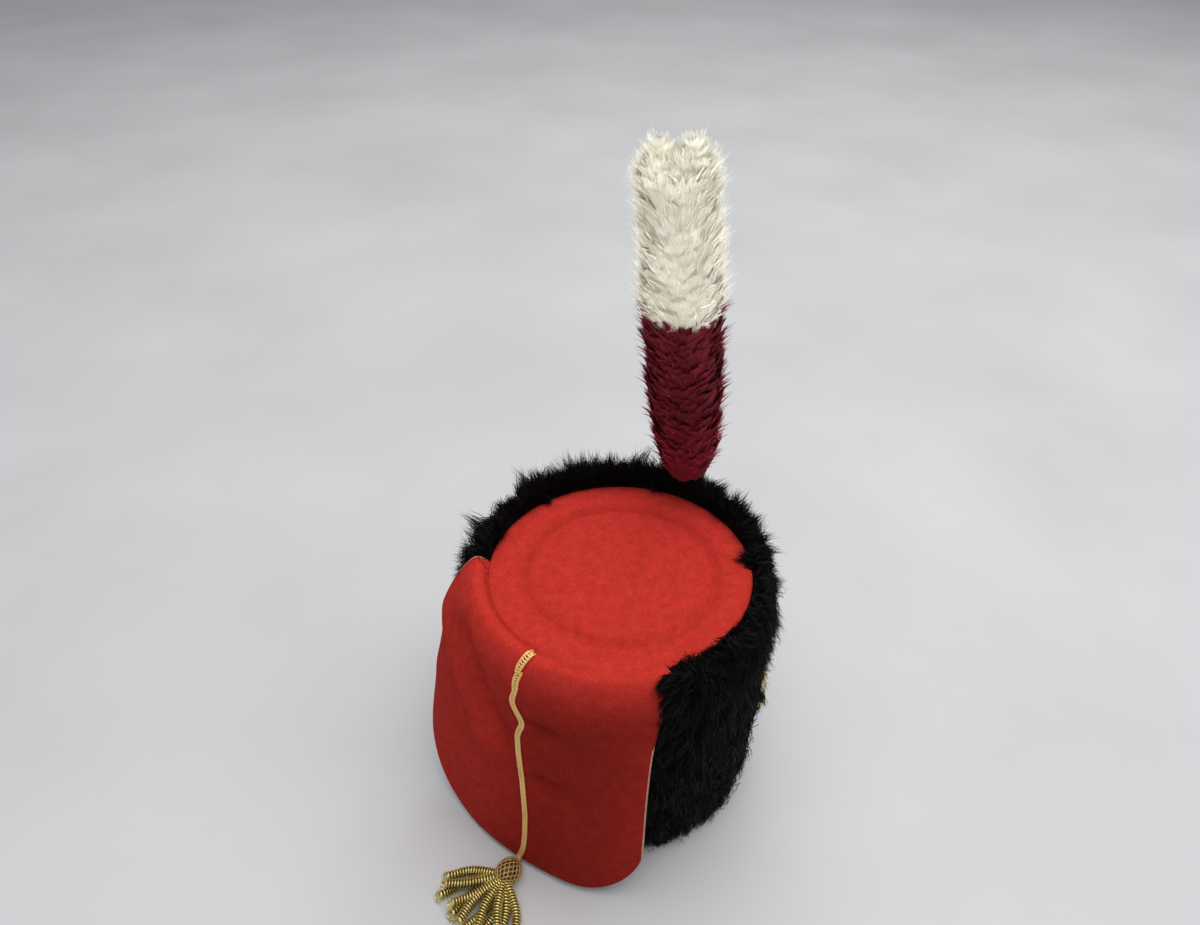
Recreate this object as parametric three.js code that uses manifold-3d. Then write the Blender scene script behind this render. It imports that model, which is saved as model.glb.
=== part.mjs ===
// A fur busby: a hollow drum of black fur, a red felt bag whose crown closes the top and whose flap
// hangs down one side, a gold braid and tassel on the flap, a feather plume and a brass chin chain.
// Millimetres, +Z up. The origin is the middle of the head opening, on the table.
// -Y is the wearer's front, -X the wearer's right, where the bag hangs, and +X the plume's side.
import * as THREE from 'three';
import { mergeVertices } from 'three/addons/utils/BufferGeometryUtils.js';
import Module from 'manifold-3d';

const wasm = await Module();
wasm.setup();

// Driving dimensions of the drum and its felt
const HEAD_RADIUS = 90.5;
const CROWN_RADIUS = 95;
const CROWN_HEIGHT = 200;
const FELT = 2;
const GAP = 0.4;

// Round the drum, angles are in degrees from +X, counter-clockwise seen from above
const BAG_ANGLE = 180;
const PLUME_ANGLE = 6;
const DRUM_SIDES = 48;

// Fur: the mass of the pile, as one section for its free sides and one for the side under the bag
const COVERED_HALF_ANGLE = 55;
const COVER_FADE_ANGLE = 9;
const SEAT = CROWN_HEIGHT - FELT - GAP;
const FUR_SECTION = [
  { spot: 'foot inside', free: [HEAD_RADIUS, 0], covered: [HEAD_RADIUS, 0] },
  { spot: 'foot outside', free: [97.5, 0], covered: [97, 0] },
  { spot: 'hem', free: [101, 5], covered: [100, 5] },
  { spot: 'low side', free: [103.5, 30], covered: [103, 30] },
  { spot: 'belly', free: [107.5, 100], covered: [105.5, 100] },
  { spot: 'high side', free: [108.5, 165], covered: [105, 165] },
  { spot: 'shoulder', free: [108.5, 194], covered: [103, 186] },
  { spot: 'crest outside', free: [105.5, 208], covered: [100.5, 193] },
  { spot: 'crest inside', free: [98.5, 208], covered: [97, 194.5] },
  { spot: 'seat wall', free: [CROWN_RADIUS + 0.8, CROWN_HEIGHT], covered: [CROWN_RADIUS + 0.8, 195] },
  { spot: 'seat outside', free: [CROWN_RADIUS + 0.6, SEAT], covered: [CROWN_RADIUS - 0.5, SEAT] },
  { spot: 'seat inside', free: [HEAD_RADIUS, SEAT], covered: [HEAD_RADIUS, SEAT] },
];

// Fur locks: rings of tufts on the free sides. Pitch is the lean of the tuft above the horizon.
const LOCK_RINGS = [
  { height: 26, radius: 104, count: 16, width: 22, length: 24, pitch: -66 },
  { height: 58, radius: 106, count: 16, width: 22, length: 26, pitch: -68 },
  { height: 92, radius: 107.5, count: 16, width: 22, length: 26, pitch: -66 },
  { height: 126, radius: 108.5, count: 16, width: 22, length: 26, pitch: -64 },
  { height: 160, radius: 109, count: 16, width: 22, length: 26, pitch: -60 },
  { height: 190, radius: 108, count: 17, width: 20, length: 22, pitch: -40 },
  { height: 205, radius: 103, count: 19, width: 17, length: 17, pitch: 62 },
];
const LOCK_SIDES = 4;
const LOCK_FLATNESS = 0.55;
const LOCK_SINK = 5;
const LOCK_JITTER = 5;
const PLUME_CLEAR_ANGLE = 13;

// Felt crown, from the middle outwards, as the height of its top above CROWN_HEIGHT
const CROWN_SECTION = [
  { spot: 'middle', radius: 0, rise: 1.2 },
  { spot: 'groove inside', radius: 64, rise: 0.6 },
  { spot: 'groove', radius: 70, rise: -1.6 },
  { spot: 'groove outside', radius: 75, rise: 0.5 },
  { spot: 'border', radius: 88, rise: 0.7 },
  { spot: 'edge', radius: CROWN_RADIUS, rise: -0.3 },
];

// Felt flap: where it leaves the crown, then its sections from the fold down to the hem.
// Left and right are its edges as seen from outside. Angles are from the bag's middle line.
const FLAP_ROOT = [
  { spot: 'root', radius: 88, height: CROWN_HEIGHT - 0.9 },
  { spot: 'crease', radius: 95.5, height: CROWN_HEIGHT - 0.9 },
  { spot: 'rise', radius: 99.5, height: CROWN_HEIGHT + 2.1 },
  { spot: 'shoulder', radius: 105, height: CROWN_HEIGHT + 3.4 },
];
const FLAP_ROOT_SPAN = { left: -56, right: 56 };
const FLAP_SECTIONS = [
  { height: 191, left: -53.5, right: 53, radii: [118, 115.5, 115, 115, 114.5] },
  { height: 172, left: -50.5, right: 50.5, radii: [126, 119, 117.5, 117.5, 117] },
  { height: 148, left: -47.5, right: 48.5, radii: [132, 123, 119.5, 119.5, 119.5] },
  { height: 108, left: -44.5, right: 47, radii: [140.5, 128, 122.5, 121.5, 124] },
  { height: 60, left: -42, right: 46, radii: [149, 134.5, 127, 126.5, 129.5] },
  { height: 6, left: -41.5, right: 45, radii: [153, 139.5, 133, 134, 136] },
];
const FLAP_COLUMNS = 13;
const FLAP_ROWS = 18;
const FLAP_CORNERS = {
  left: { from: 0.36, drop: 0.27 },
  right: { from: 0.55, drop: 0.2 },
};

// Soft folds of the flap, each along a line between two places on it: [across, along],
// where across goes from -1 to 1 and along from 0 to 1. FLAP_SIZE turns these into millimetres.
const FLAP_SIZE = { halfWidth: 103, length: 225 };
const FLAP_FOLDS = [
  { fold: 'left ridge', from: [-0.9, 0.25], to: [-0.17, 0.53], width: 9, rise: 2.8 },
  { fold: 'left hollow', from: [-0.6, 0.22], to: [-0.17, 0.4], width: 9, rise: -2.6 },
  { fold: 'left lower swell', from: [-0.5, 0.68], to: [-0.2, 0.88], width: 16, rise: 2 },
  { fold: 'upper dent', from: [0.24, 0.33], to: [0.5, 0.36], width: 5, rise: -1.8 },
  { fold: 'middle dent', from: [0.29, 0.59], to: [0.5, 0.61], width: 6, rise: -1.8 },
  { fold: 'right lobe', from: [0.5, 0.78], to: [0.6, 0.9], width: 20, rise: 2.5 },
];

// Gold braid: its wander to either side of the flap's middle line, from its cut end to the hem
const BRAID_WIDTH = 4.6;
const BRAID_THICKNESS = 1.6;
const BRAID_LIFT = 0.6;
const BRAID_STEPS = 36;
const BRAID_ROUTE = [
  { along: 0.075, across: 0.08 },
  { along: 0.12, across: 0.065 },
  { along: 0.19, across: 0.045 },
  { along: 0.25, across: 0.03 },
  { along: 0.32, across: 0.1 },
  { along: 0.4, across: 0.065 },
  { along: 0.55, across: 0.095 },
  { along: 0.75, across: 0.15 },
  { along: 0.92, across: 0.145 },
  { along: 1.0, across: 0.1 },
];

// Tassel: a netted head on the table in front of the hem, and a fan of bullion strands
const TASSEL_HEAD = { x: -148.5, y: -13, radius: 9.2, length: 22 };
const TASSEL_AXIS_ANGLE = 180;
const STRAND_RADIUS = 3.5;
const STRAND_SIDES = 6;
const STRAND_STEPS = 4;
const STRAND_LAYERS = [
  { count: 7, spread: 98, length: 37, height: STRAND_RADIUS + 0.7, bow: 4 },
  { count: 5, spread: 70, length: 35, height: 3 * STRAND_RADIUS, bow: -3 },
];

// Plume: feathers wound on a rod that leans a little and stands in the fur of the crest
const PLUME_CIRCLE_RADIUS = 101;
const PLUME_LEAN = 3.6;
const PLUME_LEAN_ANGLE = 127;
const PLUME_BASE = 190;
const STEM_RADIUS = 2.6;
const STEM_LENGTH = 282;
const PLUME_SECTIONS = {
  plume_red: [
    { height: 19, radius: 8 },
    { height: 30, radius: 15 },
    { height: 55, radius: 20 },
    { height: 110, radius: 22 },
    { height: 176, radius: 22.5 },
  ],
  plume_white: [
    { height: 176.4, radius: 22 },
    { height: 222, radius: 24 },
    { height: 270, radius: 25.5 },
    { height: 290, radius: 22 },
    { height: 296, radius: 12 },
  ],
};
const PLUME_SIDES = 12;
const FEATHER = { spacing: 18.5, around: 7, width: 17, length: 21, sink: 6, pitch: 55, flatness: 0.45 };

// Chin chain: it hangs round the plume's side between two studs
const CHAIN_START_ANGLE = -65;
const CHAIN_END_ANGLE = 119;
const CHAIN_RADIUS_AT_FUR = 112;
const CHAIN_HEIGHT = 108;
const CHAIN_SAG = 70;
const CHAIN_THICKNESS = 8;
const CHAIN_SIDES = 8;
const CHAIN_STEPS = 36;
const STUD = { radius: 7, rim: 1.4, dome: 3.2, shank: 2.2, depth: 10 };

const MATERIALS = {
  fur: new THREE.MeshStandardMaterial({ color: 0x0b0b0d, roughness: 0.85, metalness: 0 }),
  felt: new THREE.MeshStandardMaterial({ color: 0xc4302a, roughness: 0.95, metalness: 0 }),
  braid: new THREE.MeshStandardMaterial({ color: 0xc9963f, roughness: 0.5, metalness: 0.6 }),
  bullion: new THREE.MeshStandardMaterial({ color: 0xb9923a, roughness: 0.3, metalness: 1 }),
  feather_red: new THREE.MeshStandardMaterial({ color: 0x7c1524, roughness: 0.9, metalness: 0 }),
  feather_white: new THREE.MeshStandardMaterial({ color: 0xe6e2d2, roughness: 0.9, metalness: 0 }),
  brass: new THREE.MeshStandardMaterial({ color: 0xb08d3c, roughness: 0.3, metalness: 1 }),
};

const radians = THREE.MathUtils.degToRad;

// A point at a radius, an angle in degrees and a height
function polar(radius, angle, height) {
  return new THREE.Vector3(radius * Math.cos(radians(angle)), radius * Math.sin(radians(angle)), height);
}

// Repeatable uneven values from -1 to 1
function uneven(index) {
  const wave = Math.sin(index * 12.9898 + 4.1) * 43758.5453;
  return 2 * (wave - Math.floor(wave)) - 1;
}

// A closed geometry as a solid that can be joined and cut
function solid(geometry) {
  const bare = new THREE.BufferGeometry();
  bare.setAttribute('position', geometry.getAttribute('position').clone());
  bare.setIndex(geometry.index ? geometry.index.clone() : null);
  const merged = mergeVertices(bare, 1e-4);
  const mesh = new wasm.Mesh({
    numProp: 3,
    vertProperties: new Float32Array(merged.attributes.position.array),
    triVerts: new Uint32Array(merged.index.array),
  });
  return new wasm.Manifold(mesh);
}

// The solid's faces as a geometry for a mesh, with its finest slivers merged away
function faces(body) {
  const mesh = body.simplify(0.02).getMesh();
  const geometry = new THREE.BufferGeometry();
  geometry.setAttribute('position', new THREE.BufferAttribute(new Float32Array(mesh.vertProperties), 3));
  geometry.setIndex(new THREE.BufferAttribute(new Uint32Array(mesh.triVerts), 1));
  geometry.computeVertexNormals();
  return geometry;
}

function joined(bodies) {
  return bodies.reduce((all, body) => all.add(body));
}

// The main piece of a solid, without chips that a cut left loose
function mainPiece(body) {
  return body.decompose().reduce((largest, piece) => (piece.volume() > largest.volume() ? piece : largest));
}

function named(name, geometry, material) {
  const mesh = new THREE.Mesh(geometry, material);
  mesh.name = name;
  return mesh;
}

// A geometry from points and a list of triangles, each three numbers of points
function facesOf(points, triangles) {
  const geometry = new THREE.BufferGeometry();
  geometry.setAttribute('position', new THREE.Float32BufferAttribute(points.flatMap((p) => p.toArray()), 3));
  geometry.setIndex(triangles.flat());
  return geometry;
}

// A ring that closes on itself: one closed section for each step round it
function ringOfSections(sections) {
  const size = sections[0].length;
  const at = (i, j) => (i % sections.length) * size + (j % size);
  const triangles = [];
  for (let i = 0; i < sections.length; i++) {
    for (let j = 0; j < size; j++) {
      triangles.push([at(i, j), at(i + 1, j), at(i + 1, j + 1)]);
      triangles.push([at(i, j), at(i + 1, j + 1), at(i, j + 1)]);
    }
  }
  return facesOf(sections.flat(), triangles);
}

// A bar along a row of sections with the same number of points, closed at both ends
function barOfSections(sections) {
  const size = sections[0].length;
  const last = (sections.length - 1) * size;
  const triangles = [];
  for (let i = 0; i + 1 < sections.length; i++) {
    for (let j = 0; j < size; j++) {
      const a = i * size + j;
      const b = i * size + ((j + 1) % size);
      triangles.push([a, b, b + size], [a, b + size, a + size]);
    }
  }
  for (let j = 1; j + 1 < size; j++) {
    triangles.push([0, j + 1, j], [last, last + j, last + j + 1]);
  }
  return facesOf(sections.flat(), triangles);
}

// A sheet of even thickness: rows of points on its outer face and on its inner face
function sheetOfRows(outer, inner) {
  const rows = outer.length;
  const columns = outer[0].length;
  const out = (i, j) => i * columns + j;
  const inn = (i, j) => rows * columns + i * columns + j;
  const triangles = [];
  for (let i = 0; i + 1 < rows; i++) {
    for (let j = 0; j + 1 < columns; j++) {
      triangles.push([out(i, j), out(i + 1, j), out(i + 1, j + 1)]);
      triangles.push([out(i, j), out(i + 1, j + 1), out(i, j + 1)]);
      triangles.push([inn(i, j), inn(i + 1, j + 1), inn(i + 1, j)]);
      triangles.push([inn(i, j), inn(i, j + 1), inn(i + 1, j + 1)]);
    }
  }
  const edge = [];
  for (let j = 0; j < columns; j++) edge.push([0, j]);
  for (let i = 1; i < rows; i++) edge.push([i, columns - 1]);
  for (let j = columns - 2; j >= 0; j--) edge.push([rows - 1, j]);
  for (let i = rows - 2; i > 0; i--) edge.push([i, 0]);
  edge.forEach((here, k) => {
    const next = edge[(k + 1) % edge.length];
    triangles.push([out(...here), out(...next), inn(...next)]);
    triangles.push([out(...here), inn(...next), inn(...here)]);
  });
  return facesOf([...outer.flat(), ...inner.flat()], triangles);
}

// A round tube along points
function tube(points, radius, sides, steps) {
  const section = new THREE.Shape();
  for (let k = 0; k < sides; k++) {
    const turn = (2 * Math.PI * k) / sides;
    const corner = [radius * Math.cos(turn), radius * Math.sin(turn)];
    if (k === 0) section.moveTo(...corner);
    else section.lineTo(...corner);
  }
  section.closePath();
  const path = new THREE.CatmullRomCurve3(points);
  return new THREE.ExtrudeGeometry(section, { steps, extrudePath: path, bevelEnabled: false });
}

// A turned solid about +Z from a profile of [radius, height] that starts and ends on the axis
function turned(profile, sides) {
  const points = profile.map(([radius, height]) => new THREE.Vector2(radius, height));
  return new THREE.LatheGeometry(points, sides).rotateX(Math.PI / 2);
}

// A pointed tuft whose base sits at a place and whose tip points along a direction
function tuft(place, direction, { width, length, sides, flatness = 1, twist = 0 }) {
  const cone = new THREE.ConeGeometry(width / 2, length, sides).translate(0, length / 2, 0);
  cone.scale(1, 1, flatness);
  cone.rotateY(twist);
  const turn = new THREE.Quaternion().setFromUnitVectors(new THREE.Vector3(0, 1, 0), direction);
  return cone.applyQuaternion(turn).translate(place.x, place.y, place.z);
}

// How far the felt covers the fur at an angle: 1 under the bag, 0 on the free sides
function cover(angle) {
  const away = Math.abs(((angle - BAG_ANGLE + 540) % 360) - 180);
  return 1 - THREE.MathUtils.smoothstep(away, COVERED_HALF_ANGLE, COVERED_HALF_ANGLE + COVER_FADE_ANGLE);
}

function angleApart(a, b) {
  return Math.abs(((a - b + 540) % 360) - 180);
}

// Fur drum: the mass of the pile with its locks
function furMass() {
  const sections = [];
  for (let i = 0; i < DRUM_SIDES; i++) {
    const angle = (360 * i) / DRUM_SIDES;
    const share = cover(angle);
    sections.push(FUR_SECTION.map(({ free, covered }) => polar(
      THREE.MathUtils.lerp(free[0], covered[0], share),
      angle,
      THREE.MathUtils.lerp(free[1], covered[1], share),
    )));
  }
  return ringOfSections(sections);
}

function furLocks() {
  const locks = [];
  LOCK_RINGS.forEach((ring, row) => {
    for (let k = 0; k < ring.count; k++) {
      const chance = row * 50 + k;
      const angle = (360 * (k + (row % 2) / 2)) / ring.count + 2 * uneven(chance);
      const crest = ring.pitch > 60;
      const nearPlume = crest && angleApart(angle, PLUME_ANGLE) < PLUME_CLEAR_ANGLE;
      if (cover(angle) > 0 || nearPlume) continue;
      const height = ring.height + (crest ? 0 : LOCK_JITTER * uneven(chance + 7));
      const pitch = radians(ring.pitch + 12 * uneven(chance + 13));
      const swing = angle + 10 * uneven(chance + 29);
      const direction = polar(Math.cos(pitch), swing, Math.sin(pitch)).normalize();
      const place = polar(ring.radius, angle, height).addScaledVector(direction, -LOCK_SINK);
      const length = ring.length * (1 + 0.2 * uneven(chance + 41));
      const shape = { width: ring.width, length, sides: LOCK_SIDES, flatness: LOCK_FLATNESS };
      locks.push(tuft(place, direction, { ...shape, twist: radians(90 + swing) }));
    }
  });
  return locks;
}

// Felt crown: a turned disc with a soft groove, made fuller by extra on every side for a clearance cut
function crownDisc(extra = 0) {
  const reach = (radius) => (radius === CROWN_RADIUS ? radius + extra : radius);
  const under = CROWN_SECTION.map(({ radius, rise }) => [reach(radius), CROWN_HEIGHT + rise - FELT - extra]);
  const top = CROWN_SECTION.map(({ radius, rise }) => [reach(radius), CROWN_HEIGHT + rise + extra]);
  return turned([...under, ...top.reverse()], DRUM_SIDES);
}

// A value across the flap from five columns, from its left edge to its right edge
function acrossColumns(values, across) {
  const curve = new THREE.SplineCurve(values.map((value, k) => new THREE.Vector2(k, value)));
  return curve.getPoint((across + 1) / 2).y;
}

function flapAngle(span, across) {
  return BAG_ANGLE + (across < 0 ? -across * span.left : across * span.right);
}

// The middle of the felt, down the flap at one place across it
function flapLine(across) {
  const rootAngle = flapAngle(FLAP_ROOT_SPAN, across);
  const root = FLAP_ROOT.map(({ radius, height }) => polar(radius, rootAngle, height));
  const fall = FLAP_SECTIONS.map((section) => (
    polar(acrossColumns(section.radii, across), flapAngle(section, across), section.height)
  ));
  return new THREE.CatmullRomCurve3([...root, ...fall], false, 'centripetal');
}

// How far down the flap reaches at a place across it: less at its round lower corners
function flapEnd(across) {
  const { from, drop } = across < 0 ? FLAP_CORNERS.left : FLAP_CORNERS.right;
  const share = Math.max(0, (Math.abs(across) - from) / (1 - from));
  return 1 - drop * (1 - Math.sqrt(Math.max(0, 1 - share * share)));
}

function foldRise(across, along) {
  const place = ([x, y]) => new THREE.Vector3(x * FLAP_SIZE.halfWidth, y * FLAP_SIZE.length, 0);
  const here = place([across, along]);
  return FLAP_FOLDS.reduce((sum, { from, to, width, rise }) => {
    const line = new THREE.Line3(place(from), place(to));
    const apart = line.closestPointToPoint(here, true, new THREE.Vector3()).distanceTo(here) / width;
    return sum + rise * Math.exp((-apart * apart) / 2);
  }, 0);
}

// A point of the flap's middle face with its outward normal
function flapPoint(across, along) {
  const step = 0.01;
  const here = flapLine(across).getPointAt(along);
  const side = flapLine(Math.min(1, across + step)).getPointAt(along)
    .sub(flapLine(Math.max(-1, across - step)).getPointAt(along));
  const line = flapLine(across);
  const down = line.getPointAt(Math.min(1, along + step)).sub(line.getPointAt(Math.max(0, along - step)));
  const normal = new THREE.Vector3().crossVectors(down, side).normalize();
  return { point: here.addScaledVector(normal, foldRise(across, along)), normal };
}

// Columns lie closer together towards the flap's round corners
function flapColumn(k) {
  const even = (2 * k) / FLAP_COLUMNS - 1;
  return 0.55 * even + 0.45 * Math.sin((even * Math.PI) / 2);
}

// Rows lie closer together over the fold at the rim
function flapRow(k) {
  const even = k / FLAP_ROWS;
  return even - 0.09 * Math.sin(2 * Math.PI * even);
}

function flapSheet(extra = 0) {
  const outer = [];
  const inner = [];
  for (let i = 0; i <= FLAP_ROWS; i++) {
    outer.push([]);
    inner.push([]);
    for (let j = 0; j <= FLAP_COLUMNS; j++) {
      const across = flapColumn(j);
      const { point, normal } = flapPoint(across, flapRow(i) * flapEnd(across));
      outer[i].push(point.clone().addScaledVector(normal, FELT / 2 + extra));
      inner[i].push(point.clone().addScaledVector(normal, -FELT / 2 - extra));
    }
  }
  return sheetOfRows(outer, inner);
}

// Gold braid: a flat bar that follows the flap's outer face and runs on to the tassel's head
function braidBar() {
  const places = BRAID_ROUTE.map(({ along, across }) => new THREE.Vector2(across, along));
  const route = new THREE.SplineCurve(places);
  const sections = [];
  for (let k = 0; k <= BRAID_STEPS; k++) {
    const { x: across, y: along } = route.getPoint(k / BRAID_STEPS);
    const ahead = route.getPoint(Math.min(1, (k + 0.5) / BRAID_STEPS));
    const behind = route.getPoint(Math.max(0, (k - 0.5) / BRAID_STEPS));
    const { point, normal } = flapPoint(across, along);
    const run = flapPoint(ahead.x, ahead.y).point.sub(flapPoint(behind.x, behind.y).point).normalize();
    const side = new THREE.Vector3().crossVectors(normal, run).normalize();
    const corner = (wide, high) => point.clone()
      .addScaledVector(side, (wide * BRAID_WIDTH) / 2)
      .addScaledVector(normal, FELT / 2 + BRAID_LIFT + high * BRAID_THICKNESS);
    const under = [corner(-1, 0), corner(1, 0)];
    const over = [corner(1, 0.6), corner(0.5, 1), corner(-0.5, 1), corner(-1, 0.6)];
    sections.push([...under, ...over]);
  }
  const end = sections[BRAID_STEPS];
  const middle = end.reduce((sum, point) => sum.add(point), new THREE.Vector3()).divideScalar(end.length);
  const neck = tasselNeck().sub(middle);
  sections.push(end.map((point) => point.clone().add(neck)));
  return barOfSections(sections);
}

// Tassel: the netted head with its strands, lying on the table. Its neck is where the braid reaches it.
function tasselCentre() {
  return new THREE.Vector3(TASSEL_HEAD.x, TASSEL_HEAD.y, TASSEL_HEAD.radius + 0.2);
}

function tasselNeck() {
  return tasselCentre().addScaledVector(polar(1, TASSEL_AXIS_ANGLE, 0), -TASSEL_HEAD.length / 2 - 2 * GAP);
}

function tasselSolid() {
  const centre = tasselCentre();
  const axis = polar(1, TASSEL_AXIS_ANGLE, 0);
  const head = new THREE.SphereGeometry(TASSEL_HEAD.radius, 12, 8)
    .scale(TASSEL_HEAD.length / TASSEL_HEAD.radius / 2, 1, 1)
    .rotateZ(radians(TASSEL_AXIS_ANGLE))
    .translate(centre.x, centre.y, centre.z);
  const bodies = [solid(head)];
  STRAND_LAYERS.forEach(({ count, spread, length, height, bow }, layer) => {
    for (let k = 0; k < count; k++) {
      const share = k / (count - 1) - 0.5;
      const angle = TASSEL_AXIS_ANGLE + spread * share + 3 * uneven(k + 20 * layer);
      const reach = length * (1 + 0.1 * uneven(k + 60 + 20 * layer));
      const out = polar(1, angle, 0);
      const sideways = polar(1, angle + 90, 0).multiplyScalar(bow * Math.sign(share || 1));
      const start = centre.clone().addScaledVector(axis, TASSEL_HEAD.length * 0.18);
      const middle = centre.clone().addScaledVector(out, TASSEL_HEAD.length / 2 + reach / 2).add(sideways);
      const end = centre.clone().addScaledVector(out, TASSEL_HEAD.length / 2 + reach);
      middle.z = height;
      end.z = height;
      bodies.push(solid(tube([start, middle, end], STRAND_RADIUS, STRAND_SIDES, STRAND_STEPS)));
    }
  });
  return joined(bodies);
}

// Plume: the rod, and the feathers of each colour round it with a bore for the rod
function plumeRadius(sections, height) {
  const k = Math.max(1, sections.findIndex((section) => section.height >= height));
  const [low, high] = [sections[k - 1], sections[k]];
  return THREE.MathUtils.mapLinear(height, low.height, high.height, low.radius, high.radius);
}

function stemRod(extra = 0) {
  const radius = STEM_RADIUS + extra;
  return new THREE.CylinderGeometry(radius, radius, STEM_LENGTH + 2 * extra, 12)
    .rotateX(Math.PI / 2)
    .translate(0, 0, STEM_LENGTH / 2);
}

function featherSolid(sections) {
  const bottom = sections[0].height;
  const top = sections[sections.length - 1].height;
  const profile = sections.map(({ height, radius }) => [radius, height]);
  const bodies = [solid(turned([[0, bottom], ...profile, [0, top]], PLUME_SIDES))];
  const rows = Math.floor((top - bottom - 4) / FEATHER.spacing);
  for (let row = 0; row < rows; row++) {
    const height = bottom + 6 + row * FEATHER.spacing;
    const radius = plumeRadius(sections, height);
    for (let k = 0; k < FEATHER.around; k++) {
      const chance = row * 31 + k + bottom;
      const angle = (360 * (k + (row % 2) / 2)) / FEATHER.around + 8 * uneven(chance);
      const pitch = radians(FEATHER.pitch + 8 * uneven(chance + 5));
      const direction = polar(Math.cos(pitch), angle, Math.sin(pitch));
      const place = polar(radius, angle, height).addScaledVector(direction, -FEATHER.sink);
      const shape = { width: FEATHER.width, length: FEATHER.length, sides: 4, flatness: FEATHER.flatness };
      bodies.push(solid(tuft(place, direction, { ...shape, twist: radians(90 + angle) })));
    }
  }
  const below = turned([[0, bottom - 30], [60, bottom - 30], [60, bottom], [0, bottom]], 8);
  const above = turned([[0, top], [60, top], [60, top + 30], [0, top + 30]], 8);
  const trimmed = joined(bodies).subtract(solid(below)).subtract(solid(above));
  return trimmed.subtract(solid(stemRod(GAP)));
}

function plumeGroup() {
  const group = new THREE.Group();
  const foot = polar(PLUME_CIRCLE_RADIUS, PLUME_ANGLE, PLUME_BASE);
  group.position.copy(foot);
  const hinge = polar(1, PLUME_LEAN_ANGLE + 90, 0);
  group.quaternion.setFromAxisAngle(hinge, radians(PLUME_LEAN));
  group.add(named('plume_stem', stemRod(), MATERIALS.brass));
  group.add(named('plume_red', faces(featherSolid(PLUME_SECTIONS.plume_red)), MATERIALS.feather_red));
  group.add(named('plume_white', faces(featherSolid(PLUME_SECTIONS.plume_white)), MATERIALS.feather_white));
  group.updateMatrixWorld(true);
  return group;
}

// Chin chain: the outer form of the chain between its studs
function chainPoint(share) {
  const angle = THREE.MathUtils.lerp(CHAIN_START_ANGLE, CHAIN_END_ANGLE, share);
  return polar(CHAIN_RADIUS_AT_FUR, angle, CHAIN_HEIGHT - CHAIN_SAG * 4 * share * (1 - share));
}

function chainTube(extra = 0) {
  const ends = 0.022;
  const points = [];
  for (let k = 0; k <= CHAIN_STEPS; k++) {
    points.push(chainPoint(THREE.MathUtils.lerp(ends, 1 - ends, k / CHAIN_STEPS)));
  }
  return tube(points, CHAIN_THICKNESS / 2 + extra, CHAIN_SIDES, CHAIN_STEPS);
}

// A stud: a domed button on a shank, with its axis along +Z before it is turned outwards
function studGeometry(angle, extra = 0) {
  const { radius, rim, dome, shank, depth } = STUD;
  const profile = [
    [0, -depth - extra],
    [shank + extra, -depth - extra],
    [shank + extra, -extra],
    [radius + extra, -extra],
    [radius + extra, rim],
    [radius * 0.75 + extra, dome * 0.75 + extra],
    [radius * 0.4, dome + extra],
    [0, dome + extra],
  ];
  const outward = polar(1, angle, 0);
  const turn = new THREE.Quaternion().setFromUnitVectors(new THREE.Vector3(0, 0, 1), outward);
  const place = polar(CHAIN_RADIUS_AT_FUR - 2, angle, CHAIN_HEIGHT);
  return turned(profile, 12).applyQuaternion(turn).translate(place.x, place.y, place.z);
}

// Everything together: the fur is cut clear of all that beds into it
const busby = new THREE.Group();
const plume = plumeGroup();
const studAngles = { chain_boss_front: CHAIN_START_ANGLE, chain_boss_back: CHAIN_END_ANGLE };

const bag = solid(crownDisc()).add(solid(flapSheet()));
const bagRoom = solid(crownDisc(GAP)).add(solid(flapSheet(GAP)));
const stemRoom = stemRod(GAP).applyMatrix4(plume.matrixWorld);
let fur = joined([solid(furMass()), ...furLocks().map(solid)]);
fur = fur.subtract(bagRoom).subtract(solid(stemRoom)).subtract(solid(chainTube(GAP)));
Object.values(studAngles).forEach((angle) => {
  fur = fur.subtract(solid(studGeometry(angle, GAP)));
});

busby.add(named('fur_body', faces(mainPiece(fur)), MATERIALS.fur));
busby.add(named('bag', faces(bag), MATERIALS.felt));
busby.add(named('bag_braid', braidBar(), MATERIALS.braid));
busby.add(named('tassel', faces(tasselSolid()), MATERIALS.bullion));
busby.add(named('chin_chain', chainTube(), MATERIALS.brass));
Object.entries(studAngles).forEach(([name, angle]) => {
  busby.add(named(name, studGeometry(angle), MATERIALS.brass));
});
busby.add(plume);

export default busby;
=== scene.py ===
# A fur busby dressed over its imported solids: fur, felt bag, gold braid and tassel, plume and chain.
# Tables are in millimetres in the part's frame, and angles in degrees from +X, as in the part's source.
import math

import bpy
import numpy as np
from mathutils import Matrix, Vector


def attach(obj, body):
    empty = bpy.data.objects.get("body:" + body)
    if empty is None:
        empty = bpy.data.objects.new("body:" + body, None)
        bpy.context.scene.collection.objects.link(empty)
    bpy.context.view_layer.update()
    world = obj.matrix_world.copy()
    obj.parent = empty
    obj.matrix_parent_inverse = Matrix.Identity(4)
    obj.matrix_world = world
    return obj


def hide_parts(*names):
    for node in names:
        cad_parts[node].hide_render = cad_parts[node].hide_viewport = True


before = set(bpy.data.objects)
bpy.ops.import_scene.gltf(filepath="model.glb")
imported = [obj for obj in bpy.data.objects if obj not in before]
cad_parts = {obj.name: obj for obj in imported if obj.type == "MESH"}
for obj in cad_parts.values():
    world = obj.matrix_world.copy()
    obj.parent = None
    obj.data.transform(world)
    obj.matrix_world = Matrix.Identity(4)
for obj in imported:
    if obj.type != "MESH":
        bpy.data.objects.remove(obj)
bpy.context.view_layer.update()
scene = bpy.context.scene

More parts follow.
